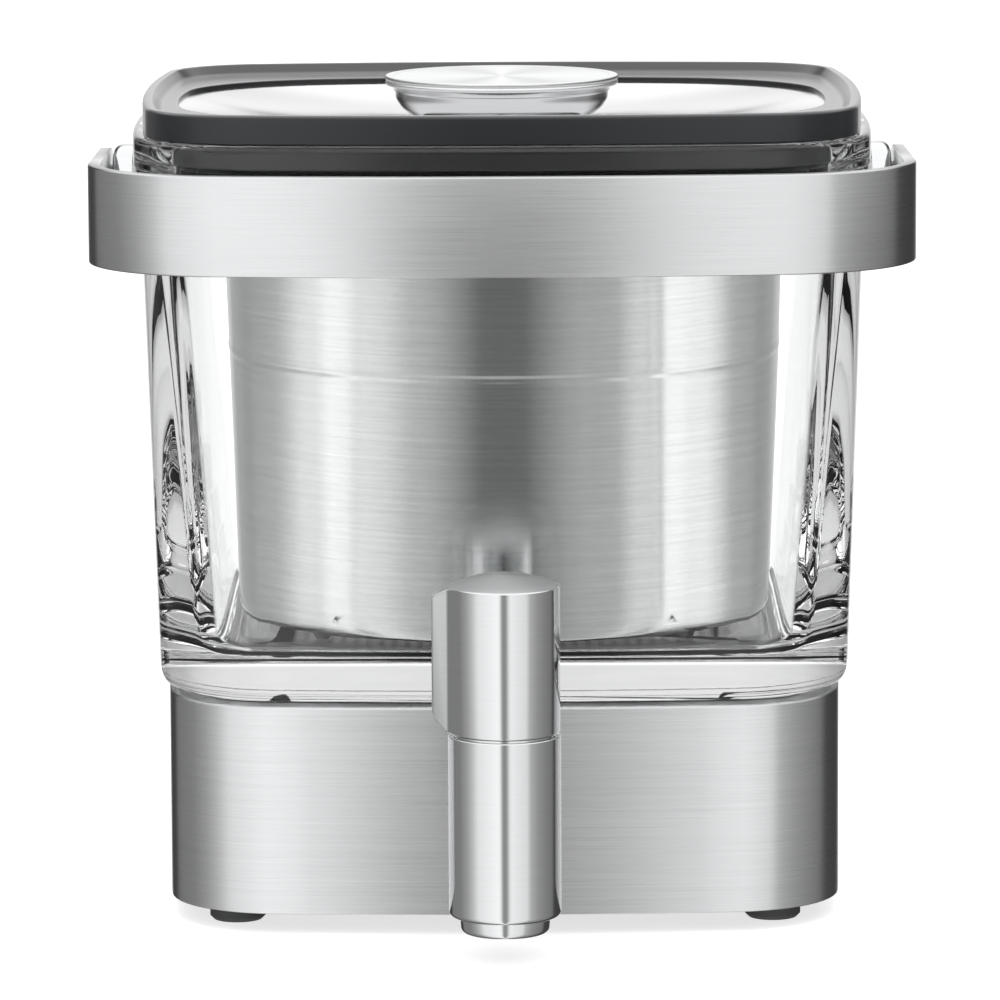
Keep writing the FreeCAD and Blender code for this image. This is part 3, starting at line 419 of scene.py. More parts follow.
def grey(strength: float) -> tuple[float, float, float, float]:
    """A neutral colour."""
    return (strength, strength, strength, 1.0)


class Grain(Enum):
    """The way a metal's fine lines run."""

    LEVEL = "level"
    ROUND = "round"
    ALONG_X = "along_x"


@dataclass
class NodeSheet:
    """Puts shader nodes on a node tree and links them.

    Attributes:
        tree: the node tree.
        column: where the next node stands.
    """

    tree: bpy.types.NodeTree
    column: int = 0

    def add(self, kind: str, inputs: dict[str | int, Value] | None = None,
            **settings: object) -> bpy.types.Node:
        """Adds a node.

        Args:
            kind: Blender's name for the node.
            inputs: what goes into its inputs, by their name or number.
            settings: the node's own settings.

        Returns:
            The node.
        """
        node = self.tree.nodes.new(kind)
        node.location = (self.column, 0)
        self.column += NODE_GAP
        for key, value in settings.items():
            setattr(node, key, value)
        self.feed(node, inputs or {})
        return node

    def feed(self, node: bpy.types.Node, inputs: dict[str | int, Value]) -> None:
        """Links a node's inputs to sockets, or sets them where the value is plain.

        Args:
            node: the node.
            inputs: the socket or value for each input, by its name or number.
        """
        for key, value in inputs.items():
            if isinstance(value, bpy.types.NodeSocket):
                self.tree.links.new(value, node.inputs[key])
            else:
                node.inputs[key].default_value = value

    def maths(self, operation: str, *values: Value) -> bpy.types.NodeSocket:
        """The result of one step of arithmetic.

        Args:
            operation: Blender's name for the step.
            values: sockets or numbers.

        Returns:
            The socket with the result.
        """
        return self.add("ShaderNodeMath", dict(enumerate(values)), operation=operation).outputs[0]

    def mapped(self, value: Value, source: Point = (0.0, 1.0), target: Point = (0.0, 1.0),
               easing: str = "LINEAR") -> bpy.types.NodeSocket:
        """A value moved from one range into another, and held inside it.

        Args:
            value: the value.
            source: the range it comes from.
            target: the range it goes to.
            easing: Blender's name for the way between the ends.

        Returns:
            The socket with the result.
        """
        inputs = {"Value": value, "From Min": source[0], "From Max": source[1],
                  "To Min": target[0], "To Max": target[1]}
        return self.add("ShaderNodeMapRange", inputs, interpolation_type=easing).outputs[0]

    def blended(self, share: Value, first: Value, second: Value) -> bpy.types.NodeSocket:
        """One colour blended into another.

        Args:
            share: 0 where the first shows, 1 where the second does.
            first: a colour.
            second: another colour.

        Returns:
            The socket with the blend.
        """
        inputs = {"Factor": share, "A": first, "B": second}
        return self.add("ShaderNodeMix", inputs, data_type="RGBA").outputs["Result"]

    def relief(self, height: Value, strength: float, depth: float) -> bpy.types.NodeSocket:
        """A surface that is raised and lowered.

        Args:
            height: the pattern.
            strength: how much of it shows.
            depth: height of the pattern, in millimetres.

        Returns:
            The socket with the normal.
        """
        inputs = {"Height": height, "Strength": strength, "Distance": depth * MM}
        return self.add("ShaderNodeBump", inputs).outputs[0]


class EffectGroups:
    """Shader groups that more than one finish uses, each built once."""

    @staticmethod
    def start_group(name: str, inputs: dict[str, Value | None],
                    outputs: tuple[str, ...]) -> NodeSheet:
        """An empty group with its sockets.

        Args:
            name: the group's name.
            inputs: default of each input: a number, a vector, or None for an input to be linked.
            outputs: name of each output.

        Returns:
            The group's sheet.
        """
        tree = bpy.data.node_groups.new(name, "ShaderNodeTree")
        for label, default in inputs.items():
            kind = "NodeSocketFloat" if isinstance(default, float) else "NodeSocketVector"
            socket = tree.interface.new_socket(label, in_out="INPUT", socket_type=kind)
            if default is not None:
                socket.default_value = default
        for label in outputs:
            tree.interface.new_socket(label, in_out="OUTPUT", socket_type="NodeSocketFloat")
        return NodeSheet(tree)

    @classmethod
    def brush_lines(cls) -> bpy.types.NodeTree:
        """Fine parallel lines: noise that is drawn out along the lines.

        Returns:
            The group, with the lines and a blotchier tone.
        """
        name = "brush_lines"
        if name in bpy.data.node_groups:
            return bpy.data.node_groups[name]
        inputs = {"Vector": None, "Stretch": (40.0, 40.0, 4000.0), "Uneven": 0.3}
        sheet = cls.start_group(name, inputs, ("Lines", "Tone"))
        source = sheet.add("NodeGroupInput").outputs
        stretched = sheet.add("ShaderNodeVectorMath", {0: source["Vector"], 1: source["Stretch"]},
                              operation="MULTIPLY").outputs["Vector"]
        fine = sheet.add("ShaderNodeTexNoise", {
            "Vector": stretched, "Scale": 1.0, "Detail": 3.0, "Roughness": 0.7}).outputs[0]
        broad = sheet.add("ShaderNodeTexNoise", {
            "Vector": source["Vector"], "Scale": 14.0, "Detail": 2.0}).outputs[0]
        tone = sheet.maths("ADD", fine, sheet.maths("MULTIPLY", broad, source["Uneven"]))
        sheet.add("NodeGroupOutput", {"Lines": fine, "Tone": tone})
        return sheet.tree

    @classmethod
    def smudges(cls) -> bpy.types.NodeTree:
        """Faint wipe marks and finger marks.

        Returns:
            The group, with a value round zero.
        """
        name = "smudges"
        if name in bpy.data.node_groups:
            return bpy.data.node_groups[name]
        sheet = cls.start_group(name, {"Vector": None, "Size": 12.0, "Amount": 0.05}, ("Value",))
        source = sheet.add("NodeGroupInput").outputs
        cloud = sheet.add("ShaderNodeTexNoise", {
            "Vector": source["Vector"], "Scale": source["Size"], "Detail": 5.0, "Roughness": 0.6})
        centred = sheet.maths("SUBTRACT", cloud.outputs[0], 0.5)
        sheet.add("NodeGroupOutput", {"Value": sheet.maths("MULTIPLY", centred, source["Amount"])})
        return sheet.tree


@dataclass(frozen=True)
class Finish(ABC):
    """What every finish has.

    Attributes:
        name: the material's name.
        slot: the record's material slot.
        colour: base colour, linear.
        roughness: average roughness.
    """

    name: str
    slot: str
    colour: tuple[float, float, float]
    roughness: float

    def material(self) -> bpy.types.Material:
        """The finish's material, built the first time it is asked for.

        Returns:
            The material.
        """
        if self.name in bpy.data.materials:
            return bpy.data.materials[self.name]
        made = bpy.data.materials.new(self.name)
        made.use_nodes = True
        shader = made.node_tree.nodes["Principled BSDF"]
        sheet = NodeSheet(made.node_tree, SHEET_START)
        sheet.feed(shader, {"Base Color": self.tinted(1.0), "Roughness": self.roughness})
        self.dress(sheet, shader)
        return made

    def tinted(self, share: float) -> tuple[float, float, float, float]:
        """The finish's colour made lighter or darker."""
        red, green, blue = (min(1.0, part * share) for part in self.colour)
        return (red, green, blue, 1.0)

    @abstractmethod
    def dress(self, sheet: NodeSheet, shader: bpy.types.Node) -> None:
        """Adds this finish's own nodes.

        Args:
            sheet: the material's node sheet.
            shader: its Principled shader.
        """

    def place(self, sheet: NodeSheet) -> bpy.types.NodeSocket:
        """The object coordinates, in metres."""
        return sheet.add("ShaderNodeTexCoord").outputs["Object"]

    def vary_roughness(self, sheet: NodeSheet, shader: bpy.types.Node, amount: float,
                       size: float) -> None:
        """Lets smudges change the roughness a little.

        Args:
            sheet: the material's node sheet.
            shader: its Principled shader.
            amount: the size of the change.
            size: smudges per metre.
        """
        inputs = {"Vector": self.place(sheet), "Size": size, "Amount": amount}
        marks = sheet.add("ShaderNodeGroup", inputs, node_tree=EffectGroups.smudges())
        total = sheet.maths("ADD", marks.outputs["Value"], self.roughness)
        sheet.feed(shader, {"Roughness": total})

    def facing_up(self, sheet: NodeSheet, start: float, full: float,
                  most: float = 1.0) -> bpy.types.NodeSocket:
        """A mask of the surfaces that face up, or down where both ends are negative.

        Args:
            sheet: the material's node sheet.
            start: upward part of the normal where the mask begins.
            full: the same where it is complete.
            most: the mask's value there.

        Returns:
            The socket with the mask.
        """
        normal = sheet.add("ShaderNodeNewGeometry").outputs["Normal"]
        upward = sheet.add("ShaderNodeSeparateXYZ", {0: normal}).outputs["Z"]
        return sheet.mapped(upward, (start, full), (0.0, most))

    def put_on(self, piece: bpy.types.Object) -> bpy.types.Object:
        """Gives a piece this finish.

        Args:
            piece: the piece.

        Returns:
            The same piece.
        """
        piece.data.materials.clear()
        piece.data.materials.append(self.material())
        return piece


@dataclass(frozen=True)
class Steel(Finish):
    """Stainless steel with fine lines.

    Attributes:
        grain: the way the lines run.
        spread: anisotropy, 0 where the gloss is round.
        depth: height of the lines, in millimetres.
        contrast: how much the lines change the colour.
        crown: roughness of the surfaces that face up, 0 where they are like the rest.
        painted_glow: painted light, an emission glow on surfaces that face down that stands in for
            light from the glass floor below; seen where the glass mirrors the piece.
        fine: lines per metre.
    """

    grain: Grain = Grain.LEVEL
    spread: float = 0.8
    depth: float = 0.004
    contrast: float = 0.12
    crown: float = 0.0
    painted_glow: float = 0.0
    fine: float = 5200.0

    DRAWN_OUT: ClassVar[float] = 26.0  # lines per metre along themselves
    TONES: ClassVar[Point] = (0.35, 0.95)  # part of the noise that colours the lines
    ROUGH_SHARES: ClassVar[Point] = (0.8, 1.2)  # least and most roughness in the lines
    FACES_UP: ClassVar[Point] = (0.6, 0.85)
    GLOW_FACES_DOWN: ClassVar[Point] = (-0.7, -0.95)

    def stretch(self) -> tuple[float, float, float]:
        """How fine the noise is in each direction.

        Returns:
            Its frequency along X, Y and Z.
        """
        fine, drawn = self.fine, self.DRAWN_OUT
        if self.grain is Grain.LEVEL:
            return (drawn, drawn, fine)
        if self.grain is Grain.ALONG_X:
            return (drawn, fine, fine)
        return (fine, fine, drawn)

    def dress(self, sheet: NodeSheet, shader: bpy.types.Node) -> None:
        """Brush lines in the colour, the roughness and the surface, and where asked for a painted
        glow on the faces that look down.

        Args:
            sheet: the material's node sheet.
            shader: its Principled shader.
        """
        inputs = {"Vector": self.place(sheet), "Stretch": self.stretch()}
        brush = sheet.add("ShaderNodeGroup", inputs, node_tree=EffectGroups.brush_lines())
        lines = brush.outputs["Lines"]
        tone = sheet.mapped(brush.outputs["Tone"], self.TONES)
        dark, light = self.tinted(1 - self.contrast), self.tinted(1 + self.contrast)
        limits = tuple(self.roughness * share for share in self.ROUGH_SHARES)
        rough = sheet.mapped(lines, target=limits)
        sheet.feed(shader, {
            "Metallic": 1.0,
            "Anisotropic": self.spread,
            "Base Color": sheet.blended(tone, dark, light),
            "Roughness": self.with_crown(sheet, rough),
            "Normal": sheet.relief(lines, strength=0.35, depth=self.depth),
        })
        # Painted light: faces that look down glow in place of light thrown up by the glass floor;
        # only mirrored rays through glass see it.
        if self.painted_glow > 0:
            glow = self.painted_glow_from_below(sheet)
            sheet.feed(shader, {"Emission Color": glow, "Emission Strength": 1.0})
        if self.spread > 0:
            tangent = sheet.add("ShaderNodeTangent", direction_type="RADIAL", axis="Z")
            turn = 0.0 if self.grain is Grain.ROUND else 0.25
            sheet.feed(shader, {"Tangent": tangent.outputs[0], "Anisotropic Rotation": turn})

    def painted_glow_from_below(self, sheet: NodeSheet) -> bpy.types.NodeSocket:
        """Painted light: an emission glow on surfaces that face down that stands in for the light a
        glass floor throws on them, seen only in the glass.

        Args:
            sheet: the material's node sheet.

        Returns:
            The socket with its strength.
        """
        path = sheet.add("ShaderNodeLightPath").outputs
        mirrored = sheet.maths("MULTIPLY", path["Transmission Depth"], path["Glossy Depth"])
        seen = sheet.mapped(mirrored, target=(0.0, self.painted_glow))
        return sheet.maths("MULTIPLY", seen, self.facing_up(sheet, *self.GLOW_FACES_DOWN))

    def with_crown(self, sheet: NodeSheet, rough: bpy.types.NodeSocket) -> bpy.types.NodeSocket:
        """Makes the surfaces that face up rougher, if the finish asks for it.

        Args:
            sheet: the material's node sheet.
            rough: the roughness of the rest.

        Returns:
            The roughness all over.
        """
        if self.crown == 0:
            return rough
        return sheet.maths("MAXIMUM", self.facing_up(sheet, *self.FACES_UP, self.crown), rough)


@dataclass(frozen=True)
class ClearGlass(Finish):
    """Thick clear glass.

    Attributes:
        index: refractive index.
        ripples: waves of the pressed surface, per metre.
        ripple_depth: in millimetres.
    """

    index: float = 1.5
    ripples: float = 22.0
    ripple_depth: float = 0.4

    def dress(self, sheet: NodeSheet, shader: bpy.types.Node) -> None:
        """Clear, with a faint unevenness of pressed glass.

        Args:
            sheet: the material's node sheet.
            shader: its Principled shader.
        """
        inputs = {"Vector": self.place(sheet), "Scale": self.ripples, "Detail": 1.0}
        wave = sheet.add("ShaderNodeTexNoise", inputs).outputs[0]
        sheet.feed(shader, {
            "Metallic": 0.0,
            "Transmission Weight": 1.0,
            "IOR": self.index,
            "Normal": sheet.relief(wave, strength=0.12, depth=self.ripple_depth),
        })


@dataclass(frozen=True)
class Moulding(Finish):
    """Moulded plastic or rubber with a fine mat surface.

    Attributes:
        grain_size: bumps per metre.
        grain_depth: in millimetres.
        gloss: specular level.
        sheen: pale sheen of surfaces that are seen at a flat angle.
        painted_top_sheen: painted sheen, grey blended into the colour of the surfaces that face up
            in place of the light they mirror; 0 where they are like the rest.
    """

    grain_size: float = 3200.0
    grain_depth: float = 0.01
    gloss: float = 0.5
    sheen: float = 0.0
    painted_top_sheen: float = 0.0

    FACES_UP: ClassVar[Point] = (0.45, 0.95)

    def dress(self, sheet: NodeSheet, shader: bpy.types.Node) -> None:
        """Fine grain, faint smudges and, where asked for, a painted sheen on the surfaces that face
        up.

        Args:
            sheet: the material's node sheet.
            shader: its Principled shader.
        """
        self.vary_roughness(sheet, shader, amount=0.08, size=30.0)
        inputs = {"Vector": self.place(sheet), "Scale": self.grain_size, "Detail": 1.0}
        grain = sheet.add("ShaderNodeTexNoise", inputs).outputs[0]
        sheet.feed(shader, {
            "Specular IOR Level": self.gloss,
            "Sheen Weight": self.sheen,
            "Sheen Roughness": 0.25,
            "Normal": sheet.relief(grain, strength=0.25, depth=self.grain_depth),
        })
        # Painted sheen: the colour of surfaces that face up is blended towards grey in place of the
        # light they mirror.
        if self.painted_top_sheen > 0:
            upward = self.facing_up(sheet, *self.FACES_UP)
            pale = sheet.blended(upward, self.tinted(1.0), grey(self.painted_top_sheen))
            sheet.feed(shader, {"Base Color": pale})


BRUSHED = Steel("brushed_steel_level", "steel_brushed", (0.62, 0.625, 0.63), 0.29, spread=0.98)
# Drawn steel and screen steel carry a painted glow on the faces that look down.
DRAWN = Steel("drawn_steel", "steel_polished", (0.60, 0.605, 0.605), 0.15, spread=0.9, depth=0.002,
              contrast=0.09, painted_glow=0.20, fine=1500.0)
POLISHED = Steel("polished_steel", "steel_polished", (0.64, 0.645, 0.65), 0.09, spread=0.3,
                 depth=0.0006, contrast=0.04)
TURNED = replace(POLISHED, name="turned_steel", crown=0.55)
DISHED = Steel("dished_steel", "steel_polished", (0.66, 0.66, 0.665), 0.12, Grain.ALONG_X,
               spread=0.0, depth=0.0008, contrast=0.04)
SPUN = Steel("spun_steel", "steel_polished", (0.68, 0.685, 0.69), 0.25, Grain.ROUND,
             spread=0.93, depth=0.001, contrast=0.04)
PLAIN = Steel("plain_steel", "steel_plain", (0.5, 0.5, 0.5), 0.35, spread=0.0, depth=0.001,
              contrast=0.05)
SCREEN = Steel("screen_steel", "steel_polished", (0.88, 0.88, 0.88), 0.40, spread=0.0, depth=0.001,
               contrast=0.05, painted_glow=0.20)
GLASS = ClearGlass("clear_glass", "glass_clear", (0.965, 0.972, 0.970), 0.0)
# Black plastic with a painted sheen on its upper faces.
BLACK = Moulding("satin_black_plastic", "plastic_black", (0.014, 0.015, 0.017), 0.20,
                 grain_depth=0.003, gloss=0.36, sheen=0.35, painted_top_sheen=0.105)
NYLON = Moulding("pale_nylon", "plastic_pale", (0.62, 0.61, 0.57), 0.45)
RUBBER = Moulding("dark_rubber", "rubber_grey", (0.035, 0.036, 0.038), 0.6)
CAD_FINISHES: tuple[Finish, ...] = (BRUSHED, POLISHED, PLAIN, GLASS, BLACK, NYLON, RUBBER)
BY_SLOT: dict[str, Finish] = {finish.slot: finish for finish in CAD_FINISHES}


def place_piece(piece: bpy.types.Object, finish: Finish, body: str,
                *nodes: str) -> bpy.types.Object:
    """Dresses a piece, lets it stand for its CAD nodes and hangs it on its body.

    Args:
        piece: the piece.
        finish: its finish.
        body: the CAD body it moves with.
        nodes: the CAD nodes it stands for.

    Returns:
        The same piece.
    """
    finish.put_on(piece)
    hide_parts(*nodes)
    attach(piece, body)
    log.info("%s rides on %s and stands for %s, %d faces", piece.name, body, ", ".join(nodes),
             len(piece.data.polygons))
    return piece


# ---- sub-assemblies: all sizes in millimetres ----------------------------------------------------


class SubAssembly(Protocol):
    """A group of pieces that is built at one go."""

    def build(self) -> None:
        """Builds the sub-assembly."""


@dataclass
class Base:
    """The steel skirt; its mouldings and feet stay as they are in CAD.

    Attributes:
        plan: outside of the skirt.
        sheet: thickness of the steel.
        turned_in: width of the top edge that is turned in.
    """

    plan: BowedPlan = BowedPlan(182.2, 163.8, 30.0, 750.0, 800.0)
    sheet: float = 1.0
    turned_in: float = 6.0

    def skirt(self) -> bpy.types.Object:
        """The skirt, with its top edge rolled over and turned in.

        Returns:
            The piece.
        """
        low, high = levels("base_skirt")
        section = rounded([
            Bend(0, low, 0.3),
            Bend(0, high, 1.0),
            Bend(-self.turned_in, high),
            Bend(-self.turned_in, high - self.sheet),
            Bend(-self.sheet, high - self.sheet),
            Bend(-self.sheet, low, 0.3),
        ], closed=True)
        return skinned("skirt", self.plan.rings(section), closed=True)

    def build(self) -> None:
        """Builds the sub-assembly."""
        place_piece(self.skirt(), BRUSHED, "jar_and_base", "base_skirt")


@dataclass
class GlassJar:
    """The thick glass jar with its rim flange and heavy floor.

    Attributes:
        plan: outside of the jar at its foot.
        hollow_floor: the hollow at its floor.
        hollow_mouth: the hollow at its mouth.
        draft: lean of the outside, in degrees.
        flange: height of the rim flange.
        flange_foot: rise of the flange's underside.
        overhang: how far the flange stands out.
        floor: thickness of the floor.
        foot_round: corner round the foot.
        floor_round: corner round the hollow's floor.
        rim_round: corners of the rim.
        flat: level part of the foot and of the floor, inside their corners.
        rim_flat: level part of the rim, inside its outer and its inner edge.
        bore_radius: the drain's bore.
        bore_reach: lowest and highest level that the drain is cut to.
    """

    plan: BowedPlan = BowedPlan(187.6, 167.5, 33.0, 700.0, 600.0)
    hollow_floor: BowedPlan = BowedPlan(162.3, 155.8, 16.0, 700.0, 600.0)
    hollow_mouth: BowedPlan = BowedPlan(184.1, 169.0, 26.0, 700.0, 600.0)
    draft: float = 1.8
    flange: float = 9.0
    flange_foot: float = 0.6
    overhang: float = 1.5
    floor: float = 11.6
    foot_round: float = 5.0
    floor_round: float = 6.0
    rim_round: float = 1.8
    flat: Point = (20.0, 22.0)
    rim_flat: Point = (4.0, 3.0)
    bore_radius: float = 7.4
    bore_reach: Point = (55.0, 80.0)

    def jar(self) -> bpy.types.Object:
        """The jar as one closed shell: foot, wall, flange, rim, inner wall and floor.

        Returns:
            The piece.
        """
        low, high = levels("glass_jar")
        neck = high - self.flange
        neck_out = (neck - low) * math.tan(math.radians(self.draft))
        outside = rounded([
            Bend(-self.flat[0], low),
            Bend(0, low, self.foot_round),
            Bend(neck_out, neck, 1.0),
            Bend(neck_out + self.overhang, neck + self.flange_foot, 1.6),
            Bend(neck_out + self.overhang, high, self.rim_round),
            Bend(neck_out - self.rim_flat[0], high),
        ], steps=6)
        floor = low + self.floor
        inside = rounded([
            Bend(self.rim_flat[1], high),
            Bend(0, high, self.rim_round),
            Bend(0, floor, self.floor_round),
            Bend(-self.flat[1], floor),
        ], steps=6)
        rings = self.plan.rings(outside)
        for out, up in inside[1:]:
            share = max(0.0, (up - floor) / (high - floor))
            rings.append(self.hollow_floor.towards(self.hollow_mouth, share).ring(out, up))
        return skinned("jar", rings)

    def build(self) -> None:
        """Builds the sub-assembly."""
        jar = self.jar()
        section = [(self.bore_radius, level) for level in self.bore_reach]
        cut_away(jar, turned("bore", section, middle("drain_fitting").xy, count=32))
        place_piece(jar, GLASS, "jar_and_base", "glass_jar")


@dataclass
class CarryHandle:
    """The bent steel strip and the two polished bosses it turns on.

    Attributes:
        half_width: from the middle to the outside of an arm.
        sheet: thickness of the strip.
        corner: radius between the bar in front and an arm.
        bow: radius of the bar.
        end_radius: radius of an arm's round end.
        half_height: half the strip's height in front.
        taper_from: distance from the pivot over which the arm narrows.
        edge: round along the strip's edges, and the most it takes of half the height.
        boss_radius: the boss outside the neck.
        boss_sheet: thickness of the boss.
        boss_edge: round of its outer edge.
        boss_reach: whole length of the boss with its spigot.
        spigot_radius: the part of the boss that sits in the collar.
    """

    half_width: float = 109.55
    sheet: float = 3.3
    corner: float = 40.0
    bow: float = 600.0
    end_radius: float = 12.0
    half_height: float = 13.1
    taper_from: float = 60.0
    edge: Point = (0.5, 0.6)
    boss_radius: float = 13.0
    boss_sheet: float = 5.9
    boss_edge: float = 2.8
    boss_reach: float = 11.0
    spigot_radius: float = 9.0

    BAR_STEPS: ClassVar[int] = 8
    CORNER_STEPS: ClassVar[int] = 14
    ARM_STEPS: ClassVar[int] = 8
    END_STEPS: ClassVar[int] = 10
    LAST_STEP: ClassVar[float] = 0.985  # stops just short of the point where the end closes

    def path(self) -> list[tuple[Vector, Vector]]:
        """The strip's outer line, from the left arm's end to the right arm's.

        Returns:
            Each point with its outward direction, round the jar's axis.
        """
        front = JAR_AXIS.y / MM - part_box("carry_handle")[0].y / MM
        centre_y = self.bow - front
        corner_x = self.half_width - self.corner
        corner_y = centre_y - math.sqrt((self.bow - self.corner) ** 2 - corner_x**2)
        tilt = math.asin(corner_x / (self.bow - self.corner))
        right: list[tuple[Vector, Vector]] = []
        for centre, radius, first, last, steps in (
            (Vector((0, centre_y)), self.bow, 0.0, tilt, self.BAR_STEPS),
            (Vector((corner_x, corner_y)), self.corner, tilt, math.pi / 2, self.CORNER_STEPS),
        ):
            for step in range(1, steps + 1):
                angle = first + (last - first) * step / steps
                normal = Vector((math.sin(angle), -math.cos(angle)))
                right.append((centre + normal * radius, normal))
        side = Vector((1, 0))
        for step in range(1, self.ARM_STEPS + 1):
            back = corner_y + (0 - corner_y) * step / self.ARM_STEPS
            right.append((Vector((self.half_width, back)), side))
        for step in range(1, self.END_STEPS + 1):
            share = min(step / self.END_STEPS, self.LAST_STEP)
            reach = self.end_radius * math.sin(math.pi / 2 * share)
            right.append((Vector((self.half_width, reach)), side))
        mirror = Vector((-1, 1))
        left = [(place * mirror, normal * mirror) for place, normal in reversed(right)]
        return left + [(Vector((0, centre_y - self.bow)), Vector((0, -1)))] + right

    def half_height_at(self, back: float) -> float:
        """Half the strip's height.

        Args:
            back: distance behind the pivot.

        Returns:
            Half the height there.
        """
        if back > 0:
            return math.sqrt(self.end_radius**2 - back**2)
        share = min(1.0, -back / self.taper_from)
        return self.end_radius + (self.half_height - self.end_radius) * share

    def strip(self) -> bpy.types.Object:
        """The strip, swept along its path with softened edges.

        Returns:
            The piece.
        """
        level = middle("pivot_pins").z / MM
        rings = []
        for place, normal in self.path():
            half = self.half_height_at(place.y)
            edge = min(self.edge[0], half * self.edge[1])
            corners = ((0, -half), (0, half), (-self.sheet, half), (-self.sheet, -half))
            ring = []
            for out, up in rounded([Bend(*at, edge) for at in corners], steps=3, closed=True):
                flat = place + normal * out
                x, y = JAR_AXIS.x + flat.x * MM, JAR_AXIS.y + flat.y * MM
                ring.append(Vector((x, y, (level + up) * MM)))
            rings.append(ring)
        return skinned("handle_strip", rings)

    def bosses(self) -> bpy.types.Object:
        """The two bosses as one piece.

        Returns:
            The piece.
        """
        level = middle("pivot_pins").z
        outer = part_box("pivot_bosses")[1].x / MM
        inner, step = outer - self.boss_reach, outer - self.boss_sheet
        section = rounded([
            Bend(POLE, inner),
            Bend(self.spigot_radius, inner),
            Bend(self.spigot_radius, step),
            Bend(self.boss_radius, step, 0.4),
            Bend(self.boss_radius, outer, self.boss_edge),
            Bend(POLE, outer),
        ], steps=6)
        shapes = []
        for side in (-1, 1):
            rings = []
            for out, up in section:
                place = Vector((side * up * MM, JAR_AXIS.y, level))
                rings.append(circle(place, max(out, POLE) * MM, Vector((side, 0, 0)), count=64))
            shapes.append(skinned("boss", rings))
        return joined("bosses", shapes)

    def build(self) -> None:
        """Builds the sub-assembly."""
        place_piece(self.strip(), BRUSHED, "carry_handle", "carry_handle")
        place_piece(self.bosses(), POLISHED, "jar_and_base", "pivot_bosses")


